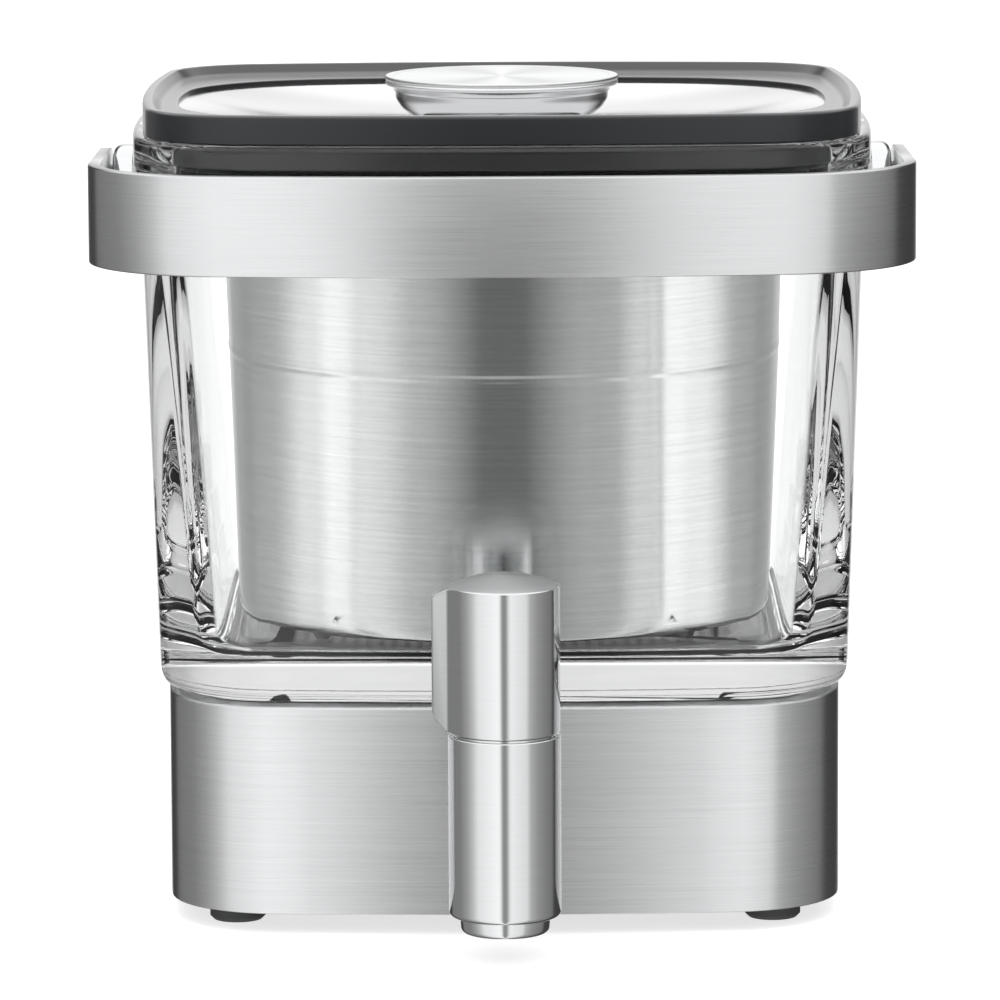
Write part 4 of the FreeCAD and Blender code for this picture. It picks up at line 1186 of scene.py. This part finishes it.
@dataclass
class Steeper:
    """The lift-out steel cylinder and its fine screen.

    Attributes:
        radius: outside of the wall.
        sheet: thickness of the wall.
        foot_round: corner round the foot.
        flange: width of the floor's flange under the screen.
        bead_share: height of the bead, as a share of the whole height.
        bead: height and half width of the bead.
        rim_out: how far the rolled rim stands out.
        rim: height of the rim, and of the slope that leads to it.
        dimple_angle: dimples to each side of the front and back, in degrees.
        dimple_height: middle of a dimple above the foot.
        dimple_radius: radius of the ball that presses it.
        dimple_out: how far outside the wall the ball's middle stands.
        dimple_band: plain wall below and above a dimple's middle.
        hole_pitch: from hole to hole in the screen.
        hole_size: across the flats of a hole.
        screen_sheet: thickness of the screen.
        open_radius: radius of the perforated part.
        screen_play: from the screen's rim to the round of the foot.
        screen_overlap: how far the rim reaches over the perforated part.
    """

    radius: float = 75.3
    sheet: float = 0.8
    foot_round: float = 3.8
    flange: float = 9.8
    bead_share: float = 0.566
    bead: Point = (0.45, 1.3)
    rim_out: float = 1.4
    rim: Point = (2.6, 4.2)
    dimple_angle: float = 36.4
    dimple_height: float = 4.3
    dimple_radius: float = 2.0
    dimple_out: float = 1.8
    dimple_band: Point = (1.3, 1.8)
    hole_pitch: float = 4.0
    hole_size: float = 2.0
    screen_sheet: float = 0.7
    open_radius: float = 65.0
    screen_play: float = 0.25
    screen_overlap: float = 1.3

    ROW: ClassVar[float] = math.sqrt(0.75)  # from row to row, in pitches
    HALF_ROW: ClassVar[float] = 0.433
    SPARE_ROWS: ClassVar[int] = 3

    def wall(self) -> bpy.types.Object:
        """The drawn wall with its rolled rim, its bead and its rounded foot.

        Returns:
            The piece.
        """
        low, high = levels("steeper_foot")[0], levels("steeper_wall")[1]
        middle_of_bead = low + self.bead_share * (high - low)
        raised, half = self.bead
        inner, ledge = self.radius - self.sheet, self.radius - self.flange
        rim_out = self.radius + self.rim_out
        section = rounded([
            Bend(ledge, low),
            Bend(self.radius, low, self.foot_round),
            Bend(self.radius, low + self.dimple_height - self.dimple_band[0]),
            Bend(self.radius, low + self.dimple_height + self.dimple_band[1]),
            Bend(self.radius, middle_of_bead - half, 2.0),
            Bend(self.radius + raised, middle_of_bead, 1.0),
            Bend(self.radius, middle_of_bead + half, 2.0),
            Bend(self.radius, high - self.rim[1], 1.5),
            Bend(rim_out, high - self.rim[0], 1.2),
            Bend(rim_out, high, 1.2),
            Bend(inner, high, 0.8),
            Bend(inner, low + self.sheet, self.foot_round - self.sheet),
            Bend(ledge, low + self.sheet),
        ], closed=True)
        return turned("steeper_body", section, JAR_AXIS, closed=True, count=160)

    def dent(self, body: bpy.types.Object) -> None:
        """Presses the small dimples above the foot, two in front and two behind.

        Args:
            body: the wall.
        """
        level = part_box("steeper_foot")[0].z + self.dimple_height * MM
        aside = self.dimple_angle
        for turn in (-aside, aside, 180 - aside, 180 + aside):
            angle = math.radians(turn - 90)
            reach = (self.radius + self.dimple_out) * MM
            x, y = JAR_AXIS.x + reach * math.cos(angle), JAR_AXIS.y + reach * math.sin(angle)
            start_primitive()
            bpy.ops.mesh.primitive_uv_sphere_add(segments=24, ring_count=16, location=(x, y, level),
                                                 radius=self.dimple_radius * MM)
            ball = bpy.context.object
            bpy.ops.object.transform_apply(location=True)
            cut_away(body, ball)

    def perforated_sheet(self) -> bpy.types.Object:
        """A flat sheet of six-sided cells, each with a hole, cut to a round.

        Returns:
            The sheet.
        """
        pitch = self.hole_pitch * MM
        rows = 2 * round(self.open_radius / self.hole_pitch / self.ROW) + self.SPARE_ROWS
        columns = rows + rows // 2
        shift = Vector((-pitch * rows * self.HALF_ROW, -pitch * columns / 2 - pitch * rows / 4, 0))
        start_primitive()
        bpy.ops.mesh.primitive_circle_add(
            vertices=6, radius=pitch / math.sqrt(3), fill_type="NGON", rotation=(0, 0, math.pi / 6),
            location=Vector((*JAR_AXIS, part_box("steeper_screen")[0].z)) + shift)
        sheet = bpy.context.object
        sheet.name = "steeper_sheet"
        bpy.ops.object.mode_set(mode="EDIT")
        bpy.ops.mesh.inset(thickness=(pitch - self.hole_size * MM) / 2)
        bpy.ops.mesh.delete(type="FACE")
        bpy.ops.object.mode_set(mode="OBJECT")
        bpy.ops.object.transform_apply(location=True, rotation=True)
        for count, step in ((columns, (0, pitch, 0)), (rows, (pitch * self.ROW, pitch / 2, 0))):
            reshape(sheet, "ARRAY", count=count, use_relative_offset=False,
                    use_constant_offset=True, constant_offset_displace=step)
        bpy.ops.object.mode_set(mode="EDIT")
        bpy.ops.mesh.select_all(action="SELECT")
        bpy.ops.mesh.remove_doubles(threshold=pitch / 50)
        bpy.ops.mesh.select_all(action="DESELECT")
        mesh = bmesh.from_edit_mesh(sheet.data)
        for face in mesh.faces:
            if (face.calc_center_median().xy - JAR_AXIS).length > self.open_radius * MM:
                face.select_set(True)
        bmesh.update_edit_mesh(sheet.data)
        bpy.ops.mesh.delete(type="FACE")
        bpy.ops.object.mode_set(mode="OBJECT")
        reshape(sheet, "SOLIDIFY", thickness=self.screen_sheet * MM, offset=1.0)
        return sheet

    def screen(self) -> bpy.types.Object:
        """The screen: the perforated sheet in a plain rim.

        Returns:
            The piece.
        """
        low, high = levels("steeper_screen")
        outer = self.radius - self.foot_round - self.screen_play
        inner = self.open_radius - self.screen_overlap
        section = [(inner, low), (outer, low), (outer, high), (inner, high)]
        plain = turned("steeper_rim", section, JAR_AXIS, closed=True, count=128)
        return joined("steeper_mesh", [plain, self.perforated_sheet()])

    def build(self) -> None:
        """Builds the sub-assembly."""
        body = self.wall()
        self.dent(body)
        place_piece(body, DRAWN, "steeper", "steeper_wall", "steeper_foot")
        place_piece(self.screen(), SCREEN, "steeper", "steeper_screen")


@dataclass
class Lid:
    """The black lid, the steel pan in it and the knob.

    Attributes:
        plan: outside of the lid.
        opening: the opening for the pan.
        plug: outside of the ring that hangs into the jar.
        side: height of the lid's side.
        ledge: width of the lid's underside outside the plug.
        lip: width of the raised lip.
        lip_slope: width of the slope inside it.
        drop: from the top of the lip to the recessed surface.
        flat: level part of the recess inside the lip, and round the opening.
        frame_sheet: depth of the opening's edge.
        plug_sheet: thickness of the plug ring.
        plug_step: from the opening's edge down to the ring's inside.
        seam: rise of the underside from the plug ring to the side.
        pan_foot: the pan's flat middle.
        pan_depth: fall of the pan.
        pan_curve: how soon it falls, 1 for a straight slope.
        pan_sheet: thickness of the pan.
        pan_grip: how far the pan reaches under the lid.
        pan_spring: how far its underside stands outside its face.
        knob_radius: the turned disc.
        disc: thickness of the disc.
        groove: depth of the groove round its edge.
        bowl_foot: radius of the bowl at the pan.
        bowl_mouth: radius of the bowl under the disc.
    """

    plan: BowedPlan = BowedPlan(193.9, 176.0, 28.0, 600.0, 600.0)
    opening: BowedPlan = BowedPlan(175.3, 133.0, 44.0, 320.0, 220.0)
    plug: BowedPlan = BowedPlan(178.1, 163.6, 23.1, 698.0, 598.0)
    side: float = 7.8
    ledge: float = 6.0
    lip: float = 2.6
    lip_slope: float = 2.4
    drop: float = 2.7
    flat: Point = (4.5, 1.2)
    frame_sheet: float = 3.6
    plug_sheet: float = 1.6
    plug_step: float = 0.2
    seam: float = 0.01
    pan_foot: BowedPlan = BowedPlan(50.0, 44.0, 20.0, 60.0, 60.0)
    pan_depth: float = 7.2
    pan_curve: float = 2.2
    pan_sheet: float = 0.8
    pan_grip: float = 2.4
    pan_spring: float = 0.1
    knob_radius: float = 31.7
    disc: float = 2.5
    groove: float = 0.4
    bowl_foot: float = 19.0
    bowl_mouth: float = 29.6

    PAN_STEPS: ClassVar[int] = 20

    def frame_moulding(self) -> bpy.types.Object:
        """The lid's moulding: side, raised lip, recessed surface, opening and plug ring.

        Returns:
            The piece.
        """
        plug_low, top = levels("lid_frame")
        low = top - self.side
        surface = top - self.drop
        side = rounded([
            Bend(-self.ledge, low),
            Bend(0, low, 0.5),
            Bend(0, top, 1.5),
            Bend(-self.lip, top, 0.8),
            Bend(-self.lip - self.lip_slope, surface, 2.5),
            Bend(-self.lip - self.flat[0], surface),
        ], steps=5)
        edge = rounded([
            Bend(self.flat[1], surface),
            Bend(0, surface, 0.4),
            Bend(0, surface - self.frame_sheet),
        ], steps=4)
        plug = [
            (-self.plug_sheet, surface - self.frame_sheet - self.plug_step),
            (-self.plug_sheet, plug_low),
            (0, plug_low),
            (0, low + self.seam),
        ]
        rings = self.plan.rings(side) + self.opening.rings(edge) + self.plug.rings(plug)
        return skinned("lid_moulding", rings, closed=True)

    def dish(self, outwards: float, drop: float) -> list[Ring]:
        """One face of the pan, which falls ever more gently from the opening to its middle.

        Args:
            outwards: how far outside the pan's own face.
            drop: how far below it.

        Returns:
            The rings from the opening inwards.
        """
        rim = levels("lid_pan")[1]
        rings = []
        for step in range(self.PAN_STEPS + 1):
            share = step / self.PAN_STEPS
            depth = self.pan_depth * (1 - (1 - share) ** self.pan_curve)
            plan = self.opening.towards(self.pan_foot, share)
            rings.append(plan.ring(outwards, rim - depth - drop))
        return rings

    def pan(self) -> bpy.types.Object:
        """The pressed pan with its rim.

        Returns:
            The piece.
        """
        rim = levels("lid_pan")[1]
        edge = self.opening.rings([(self.pan_grip, rim - self.pan_sheet), (self.pan_grip, rim)])
        under = self.dish(self.pan_spring, self.pan_sheet)[::-1]
        return skinned("lid_dish", under + edge + self.dish(0, 0))

    def disc_piece(self) -> bpy.types.Object:
        """The knob's turned disc, with a groove round its edge.

        Returns:
            The piece.
        """
        top = levels("knob_disc")[1]
        radius = self.knob_radius
        low = top - self.disc
        centre = (top + low) / 2
        section = rounded([
            Bend(POLE, low),
            Bend(radius - 0.3, low, 0.3),
            Bend(radius, centre - 0.5, 0.4),
            Bend(radius - self.groove, centre, 0.2),
            Bend(radius, centre + 0.4, 0.3),
            Bend(radius, top, 0.7),
            Bend(radius - 2.2, top, 0.6),
            Bend(radius - 2.7, top - 0.15, 0.4),
            Bend(POLE, top - 0.35),
        ], steps=4)
        return turned("knob_disc_turned", section, JAR_AXIS, count=128)

    def bowl(self) -> bpy.types.Object:
        """The knob's tapering bowl.

        Returns:
            The piece.
        """
        low, high = levels("knob_bowl")
        section = rounded([
            Bend(POLE, low),
            Bend(self.bowl_foot, low, 0.6),
            Bend(self.bowl_foot + 5.0, low + 3.0, 8.0),
            Bend(27.4, low + 5.8, 6.0),
            Bend(28.9, low + 8.2, 4.0),
            Bend(29.1, high - 1.7, 0.6),
            Bend(self.bowl_mouth, high - 1.4, 0.3),
            Bend(self.bowl_mouth, high),
            Bend(27.6, high),
            Bend(POLE, high - 0.5),
        ], steps=6)
        return turned("knob_bowl_turned", section, JAR_AXIS, count=128)

    def build(self) -> None:
        """Builds the sub-assembly."""
        place_piece(self.frame_moulding(), BLACK, "lid", "lid_frame")
        place_piece(self.pan(), DISHED, "lid", "lid_pan")
        place_piece(self.disc_piece(), SPUN, "lid", "knob_disc")
        place_piece(self.bowl(), POLISHED, "lid", "knob_bowl")


@dataclass
class Tap:
    """The tap's barrel, nozzle and domed handle.

    Attributes:
        barrel_radius: the barrel.
        barrel_bore: radius of its bore.
        barrel_floor: height of the bore's floor.
        nozzle_radius: the nozzle where it leaves the barrel.
        nozzle_foot: the nozzle at its mouth.
        nozzle_bore: radius of its bore.
        nozzle_neck: the part of the nozzle inside the barrel.
        grip_radius: the handle's round.
        fin_reach: from the axis to the fin's tip.
        fin_meets: where the fin leaves the round, in degrees from its left.
        fin_shoulder: length of the fin's straight root.
        fin_tip: half the fin's thickness at its tip.
        fin_flank: share of the flank before it turns to the tip.
        fin_round: round of the fin's foot.
        dome: radius of the domed top.
        edge: round of the handle's edges.
    """

    barrel_radius: float = 14.65
    barrel_bore: float = 8.1
    barrel_floor: float = 6.0
    nozzle_radius: float = 11.8
    nozzle_foot: float = 11.5
    nozzle_bore: float = 5.0
    nozzle_neck: float = 8.0
    grip_radius: float = 14.5
    fin_reach: float = 18.8
    fin_meets: float = 56.0
    fin_shoulder: float = 4.6
    fin_tip: float = 1.9
    fin_flank: float = 0.82
    fin_round: float = 6.5
    dome: float = 34.0
    edge: float = 0.45

    ROUND_STEPS: ClassVar[int] = 40
    FOOT_SHARES: ClassVar[tuple[float, ...]] = (0.02, 0.4, 0.8)  # sizes of the underside's rings
    CROWN_SHARES: ClassVar[tuple[float, ...]] = (0.85, 0.7, 0.55, 0.4, 0.25, 0.1, 0.02)
    EDGE_TURNS: ClassVar[tuple[int, ...]] = (0, 30, 60, 90)  # degrees round an edge

    def barrel(self) -> bpy.types.Object:
        """The upright barrel with its rounded foot.

        Returns:
            The piece.
        """
        low, high = levels("tap_body")
        section = rounded([
            Bend(self.nozzle_neck, low),
            Bend(self.barrel_radius, low, 1.5),
            Bend(self.barrel_radius, high, 0.5),
            Bend(self.barrel_bore, high),
            Bend(self.barrel_bore, low + self.barrel_floor),
        ], steps=8)
        return turned("tap_barrel", section, TAP_AXIS, closed=True, count=96)

    def nozzle(self) -> bpy.types.Object:
        """The spout with its bore.

        Returns:
            The piece.
        """
        low, high = levels("tap_nozzle")
        shoulder = levels("tap_body")[0]
        section = rounded([
            Bend(self.nozzle_bore, high),
            Bend(self.nozzle_bore, low, 0.8),
            Bend(self.nozzle_foot, low, 1.6),
            Bend(self.nozzle_radius, shoulder, 0.3),
            Bend(self.nozzle_neck, shoulder),
            Bend(self.nozzle_neck, high),
        ], steps=6, closed=True)
        return turned("tap_spout", section, TAP_AXIS, closed=True, count=72)

    def outline(self) -> list[Vector]:
        """The grip seen from above: a round with a paddle-like fin on its left.

        Returns:
            The points round the tap's axis, in millimetres.
        """
        meets = math.radians(self.fin_meets)
        half = []
        for step in range(self.ROUND_STEPS + 1):
            angle = math.pi / 2 - (math.pi / 2 + meets) * step / self.ROUND_STEPS
            half.append(Vector((math.sin(angle), math.cos(angle))) * self.grip_radius)
        root = half[-1] + Vector((-math.cos(meets), -math.sin(meets))) * self.fin_shoulder
        tip = Vector((-self.fin_reach, 0))
        nose = Vector((-self.fin_reach, self.fin_tip))
        turn = root + (nose - root) * self.fin_flank
        flank = [Bend(*half[-1]), Bend(*root, 2.2), Bend(*turn, 1.5), Bend(*nose, 1.2), Bend(*tip)]
        half += [Vector(point) for point in rounded(flank, steps=7)[1:]]
        return half + [Vector((point.x, -point.y)) for point in reversed(half[1:-1])]

    def foot(self, point: Vector) -> float:
        """How far the grip's underside rises, which it does round the fin's foot."""
        over = min(max(self.fin_round - self.fin_reach - point.x, 0.0), self.fin_round)
        return self.fin_round - math.sqrt(self.fin_round**2 - over**2)

    def crown(self, point: Vector) -> float:
        """The height of the domed top against its middle, which is 0 or less."""
        return math.sqrt(self.dome**2 - point.length_squared) - self.dome

    def grip_ring(self, share: float, level: float, surface: Callable[[Vector], float]) -> Ring:
        """The outline made smaller and laid on a surface.

        Args:
            share: its size, 1 for the whole.
            level: height of the surface where it is level.
            surface: what the surface adds to that over a point.

        Returns:
            The ring, in metres.
        """
        ring = []
        for point in self.outline():
            flat = point * share
            x, y = TAP_AXIS.x + flat.x * MM, TAP_AXIS.y + flat.y * MM
            ring.append(Vector((x, y, (level + surface(flat)) * MM)))
        return ring

    def grip(self) -> bpy.types.Object:
        """The handle: the outline raised to a dome, its fin rounded off below.

        Returns:
            The piece.
        """
        low, high = levels("tap_handle")
        turns = [math.radians(turn) for turn in self.EDGE_TURNS]
        rings = [self.grip_ring(share, low, self.foot) for share in self.FOOT_SHARES]
        for turn in turns:
            share = 1 - (1 - math.sin(turn)) * self.edge / self.grip_radius
            rings.append(self.grip_ring(share, low + self.edge * (1 - math.cos(turn)), self.foot))
        for turn in turns:
            share = 1 - (1 - math.cos(turn)) * self.edge / self.grip_radius
            rings.append(self.grip_ring(share, high - self.edge * (1 - math.sin(turn)), self.crown))
        rings += [self.grip_ring(share, high, self.crown) for share in self.CROWN_SHARES]
        return skinned("tap_grip", rings)

    def build(self) -> None:
        """Builds the sub-assembly."""
        place_piece(self.barrel(), POLISHED, "jar_and_base", "tap_body")
        place_piece(self.nozzle(), POLISHED, "jar_and_base", "tap_nozzle")
        place_piece(self.grip(), TURNED, "tap_handle", "tap_handle")


# ---- studio: all sizes in metres -----------------------------------------------------------------


@dataclass(frozen=True)
class Panel:
    """One edge of a light panel round the object.

    Attributes:
        azimuth: degrees from the front towards the right.
        strength: brightness seen in that direction.
    """

    azimuth: float
    strength: float


def panel_edges(*edges: Point) -> tuple[Panel, ...]:
    """Panel edges from pairs of azimuth and strength."""
    return tuple(Panel(*edge) for edge in edges)


@dataclass
class Studio:
    """Floor, surrounding light panels, a soft overhead lamp and the camera.

    Attributes:
        panels: light round the object, met by rays in open air.
        panels_in_glass: the same for rays that have gone through glass.
        overhead: brightness of the light above the panels, in open air.
        overhead_in_glass: the same for rays that have gone through glass.
        overhead_from: upward part of the direction where it begins and where it is complete.
        floor_size: side of the floor.
        floor_back: how far its middle stands behind the object.
        floor_grey: its colour.
        floor_glow: the light it gives off by itself.
        lamp_size: width and depth of the lamp.
        lamp_place: its middle.
        lamp_power: in watts.
        camera_distance: from the jar's axis.
        camera_height: above the floor.
        camera_pitch: degrees below level.
        camera_roll: degrees.
        camera_lens: focal length in millimetres, on a sensor of camera_sensor.
        camera_sensor: in millimetres.
        camera_shift: sideways shift, as a share of the picture.
        camera_range: nearest and farthest distance shown.
        bounces: most turns of a ray.
        bounces_of_a_kind: most mirrorings, and most passes through glass.
    """

    panels: tuple[Panel, ...] = panel_edges(
        (-180, 1.20), (-172, 0.85), (-164, 0.06), (-144, 0.06), (-136, 0.26), (-104, 0.30),
        (-84, 0.48), (-70, 0.74), (-56, 1.15), (-14, 1.42), (-9, 1.25), (-5, 0.48), (0, 0.34),
        (5, 0.50), (9, 1.05), (14, 1.28), (46, 1.05), (55, 0.62), (72, 0.42), (90, 0.32),
        (112, 0.24), (122, 0.08), (146, 0.06), (160, 0.06), (172, 0.85), (180, 1.20),
    )
    panels_in_glass: tuple[Panel, ...] = panel_edges(
        (-180, 0.80), (-160, 0.75), (-146, 0.50), (-127, 0.46), (-108, 0.64), (-100, 0.95),
        (-90, 1.50), (-82, 1.78), (-70, 1.75), (-60, 1.50), (-50, 1.28), (-38, 0.86), (-28, 0.66),
        (-18, 0.42), (-9, 0.20), (9, 0.20), (18, 0.40), (28, 0.60), (38, 0.68), (48, 0.74),
        (56, 1.20), (62, 1.26), (67, 0.95), (73, 1.78), (86, 1.78), (94, 1.55), (101, 1.15),
        (110, 0.64), (127, 0.44), (146, 0.50), (160, 0.75), (180, 0.80),
    )
    overhead: float = 1.5
    overhead_in_glass: float = 1.4
    overhead_from: Point = (0.35, 0.60)
    floor_size: float = 30.0
    floor_back: float = 8.0
    floor_grey: float = 0.4
    floor_glow: float = 0.72
    lamp_size: Point = (1.6, 1.2)
    lamp_place: tuple[float, float, float] = (0.0, -0.2, 1.7)
    lamp_power: float = 14.0
    camera_distance: float = 1.861
    camera_height: float = 0.3751
    camera_pitch: float = 8.28
    camera_roll: float = -0.25
    camera_lens: float = 246.8
    camera_sensor: float = 36.0
    camera_shift: float = -0.0035
    camera_range: Point = (0.1, 60.0)
    bounces: int = 24
    bounces_of_a_kind: int = 20

    def surroundings(self) -> None:
        """World light: panels round the object, an even light above, and white for the camera."""
        world = bpy.data.worlds.new("studio_light")
        bpy.context.scene.world = world
        world.use_nodes = True
        sheet = NodeSheet(world.node_tree, SHEET_START)
        way = sheet.add("ShaderNodeTexCoord").outputs["Generated"]
        parts = sheet.add("ShaderNodeSeparateXYZ", {0: way}).outputs
        forward = sheet.maths("MULTIPLY", parts["Y"], -1.0)
        around = sheet.mapped(sheet.maths("ARCTAN2", parts["X"], forward), (-math.pi, math.pi))
        high = sheet.mapped(parts["Z"], self.overhead_from, easing="SMOOTHSTEP")
        path = sheet.add("ShaderNodeLightPath").outputs
        in_glass = sheet.maths("GREATER_THAN", path["Transmission Depth"], 0.5)
        light = sheet.blended(
            in_glass,
            self.sky(sheet, around, high, self.panels, self.overhead),
            self.sky(sheet, around, high, self.panels_in_glass, self.overhead_in_glass),
        )
        shown = sheet.blended(path["Is Camera Ray"], light, grey(1.0))
        sheet.feed(world.node_tree.nodes["Background"], {"Color": shown})

    def sky(self, sheet: NodeSheet, around: bpy.types.NodeSocket, high: bpy.types.NodeSocket,
            edges: tuple[Panel, ...], overhead: float) -> bpy.types.NodeSocket:
        """The panels round the object, blended into an even light overhead.

        Args:
            sheet: the world's node sheet.
            around: the azimuth, 0 to 1 round the object.
            high: 0 below the overhead light and 1 in it.
            edges: the panel edges.
            overhead: brightness of the overhead light.

        Returns:
            The colour seen in each direction.
        """
        brightest = max(edge.strength for edge in edges)
        ring = sheet.add("ShaderNodeValToRGB", {0: around})
        stops = ring.color_ramp.elements
        while len(stops) < len(edges):
            stops.new(1.0)
        for stop, edge in zip(stops, edges):
            stop.position = (edge.azimuth + 180) / 360
            stop.color = grey(edge.strength / brightest)
        inputs = {0: ring.outputs[0], "Scale": brightest}
        bright = sheet.add("ShaderNodeVectorMath", inputs, operation="SCALE").outputs[0]
        return sheet.blended(high, bright, grey(overhead))

    def floor(self) -> None:
        """A wide pale floor that the steel doesn't mirror."""
        start_primitive()
        bpy.ops.mesh.primitive_plane_add(size=self.floor_size, location=(0, self.floor_back, 0))
        floor = bpy.context.object
        floor.name = "floor"
        bpy.ops.object.transform_apply(location=True)
        paint = bpy.data.materials.new("pale_floor")
        paint.use_nodes = True
        sheet = NodeSheet(paint.node_tree, SHEET_START)
        depth = sheet.add("ShaderNodeLightPath").outputs["Glossy Depth"]
        sheet.feed(paint.node_tree.nodes["Principled BSDF"], {
            "Base Color": grey(self.floor_grey),
            "Roughness": 0.9,
            "Emission Color": grey(1.0),
            "Emission Strength": self.floor_glow,
            "Alpha": sheet.maths("LESS_THAN", depth, 0.5),
        })
        floor.data.materials.append(paint)

    def lamp(self) -> None:
        """A large soft lamp overhead."""
        data = bpy.data.lights.new("overhead", "AREA")
        data.shape = "RECTANGLE"
        data.size, data.size_y = self.lamp_size
        data.energy = self.lamp_power
        lamp = bpy.data.objects.new("overhead", data)
        bpy.context.scene.collection.objects.link(lamp)
        lamp.location = self.lamp_place
        lamp.visible_glossy = False

    def camera(self) -> None:
        """A long lens in front, a little above the lid and tilted down."""
        data = bpy.data.cameras.new("camera")
        data.sensor_width = self.camera_sensor
        data.lens = self.camera_lens
        data.shift_x = self.camera_shift
        data.clip_start, data.clip_end = self.camera_range
        camera = bpy.data.objects.new("camera", data)
        bpy.context.scene.collection.objects.link(camera)
        tilt = Matrix.Rotation(math.radians(90 - self.camera_pitch), 4, "X")
        roll = Matrix.Rotation(math.radians(self.camera_roll), 4, "Z")
        place = Matrix.Translation((0, JAR_AXIS.y - self.camera_distance, self.camera_height))
        camera.matrix_world = place @ tilt @ roll
        bpy.context.scene.camera = camera

    def build(self) -> None:
        """Sets up the studio."""
        self.surroundings()
        self.floor()
        self.lamp()
        self.camera()
        view = bpy.context.scene.view_settings
        view.view_transform = "Standard"
        view.look = "None"
        cycles = bpy.context.scene.cycles
        cycles.max_bounces = self.bounces
        cycles.glossy_bounces = cycles.transmission_bounces = self.bounces_of_a_kind


# ---- whole object --------------------------------------------------------------------------------


@dataclass
class CoffeeMaker:
    """All sub-assemblies and the CAD nodes that are shown as they are.

    Attributes:
        parts: the sub-assemblies, in the order in which they are built.
    """

    parts: tuple[SubAssembly, ...] = field(
        default_factory=lambda: (Base(), GlassJar(), CarryHandle(), Steeper(), Lid(), Tap()))

    def dress_cad_nodes(self) -> None:
        """Gives each CAD node the finish of its slot."""
        slots = {part["node"]: part["material_slot"] for part in frame["record"]["subparts"]}
        for name, node in frame["nodes"].items():
            finish = BY_SLOT[slots[name]]
            finish.put_on(node)
            log.info("%s keeps its CAD mesh in %s", name, finish.name)

    def build(self) -> None:
        """Builds everything in order."""
        self.dress_cad_nodes()
        for part in self.parts:
            part.build()


def main() -> None:
    """Builds the coffee maker and its studio."""
    logging.basicConfig(level=logging.INFO, format="%(name)s: %(message)s")
    CoffeeMaker().build()
    Studio().build()


if __name__ == "__main__":
    main()
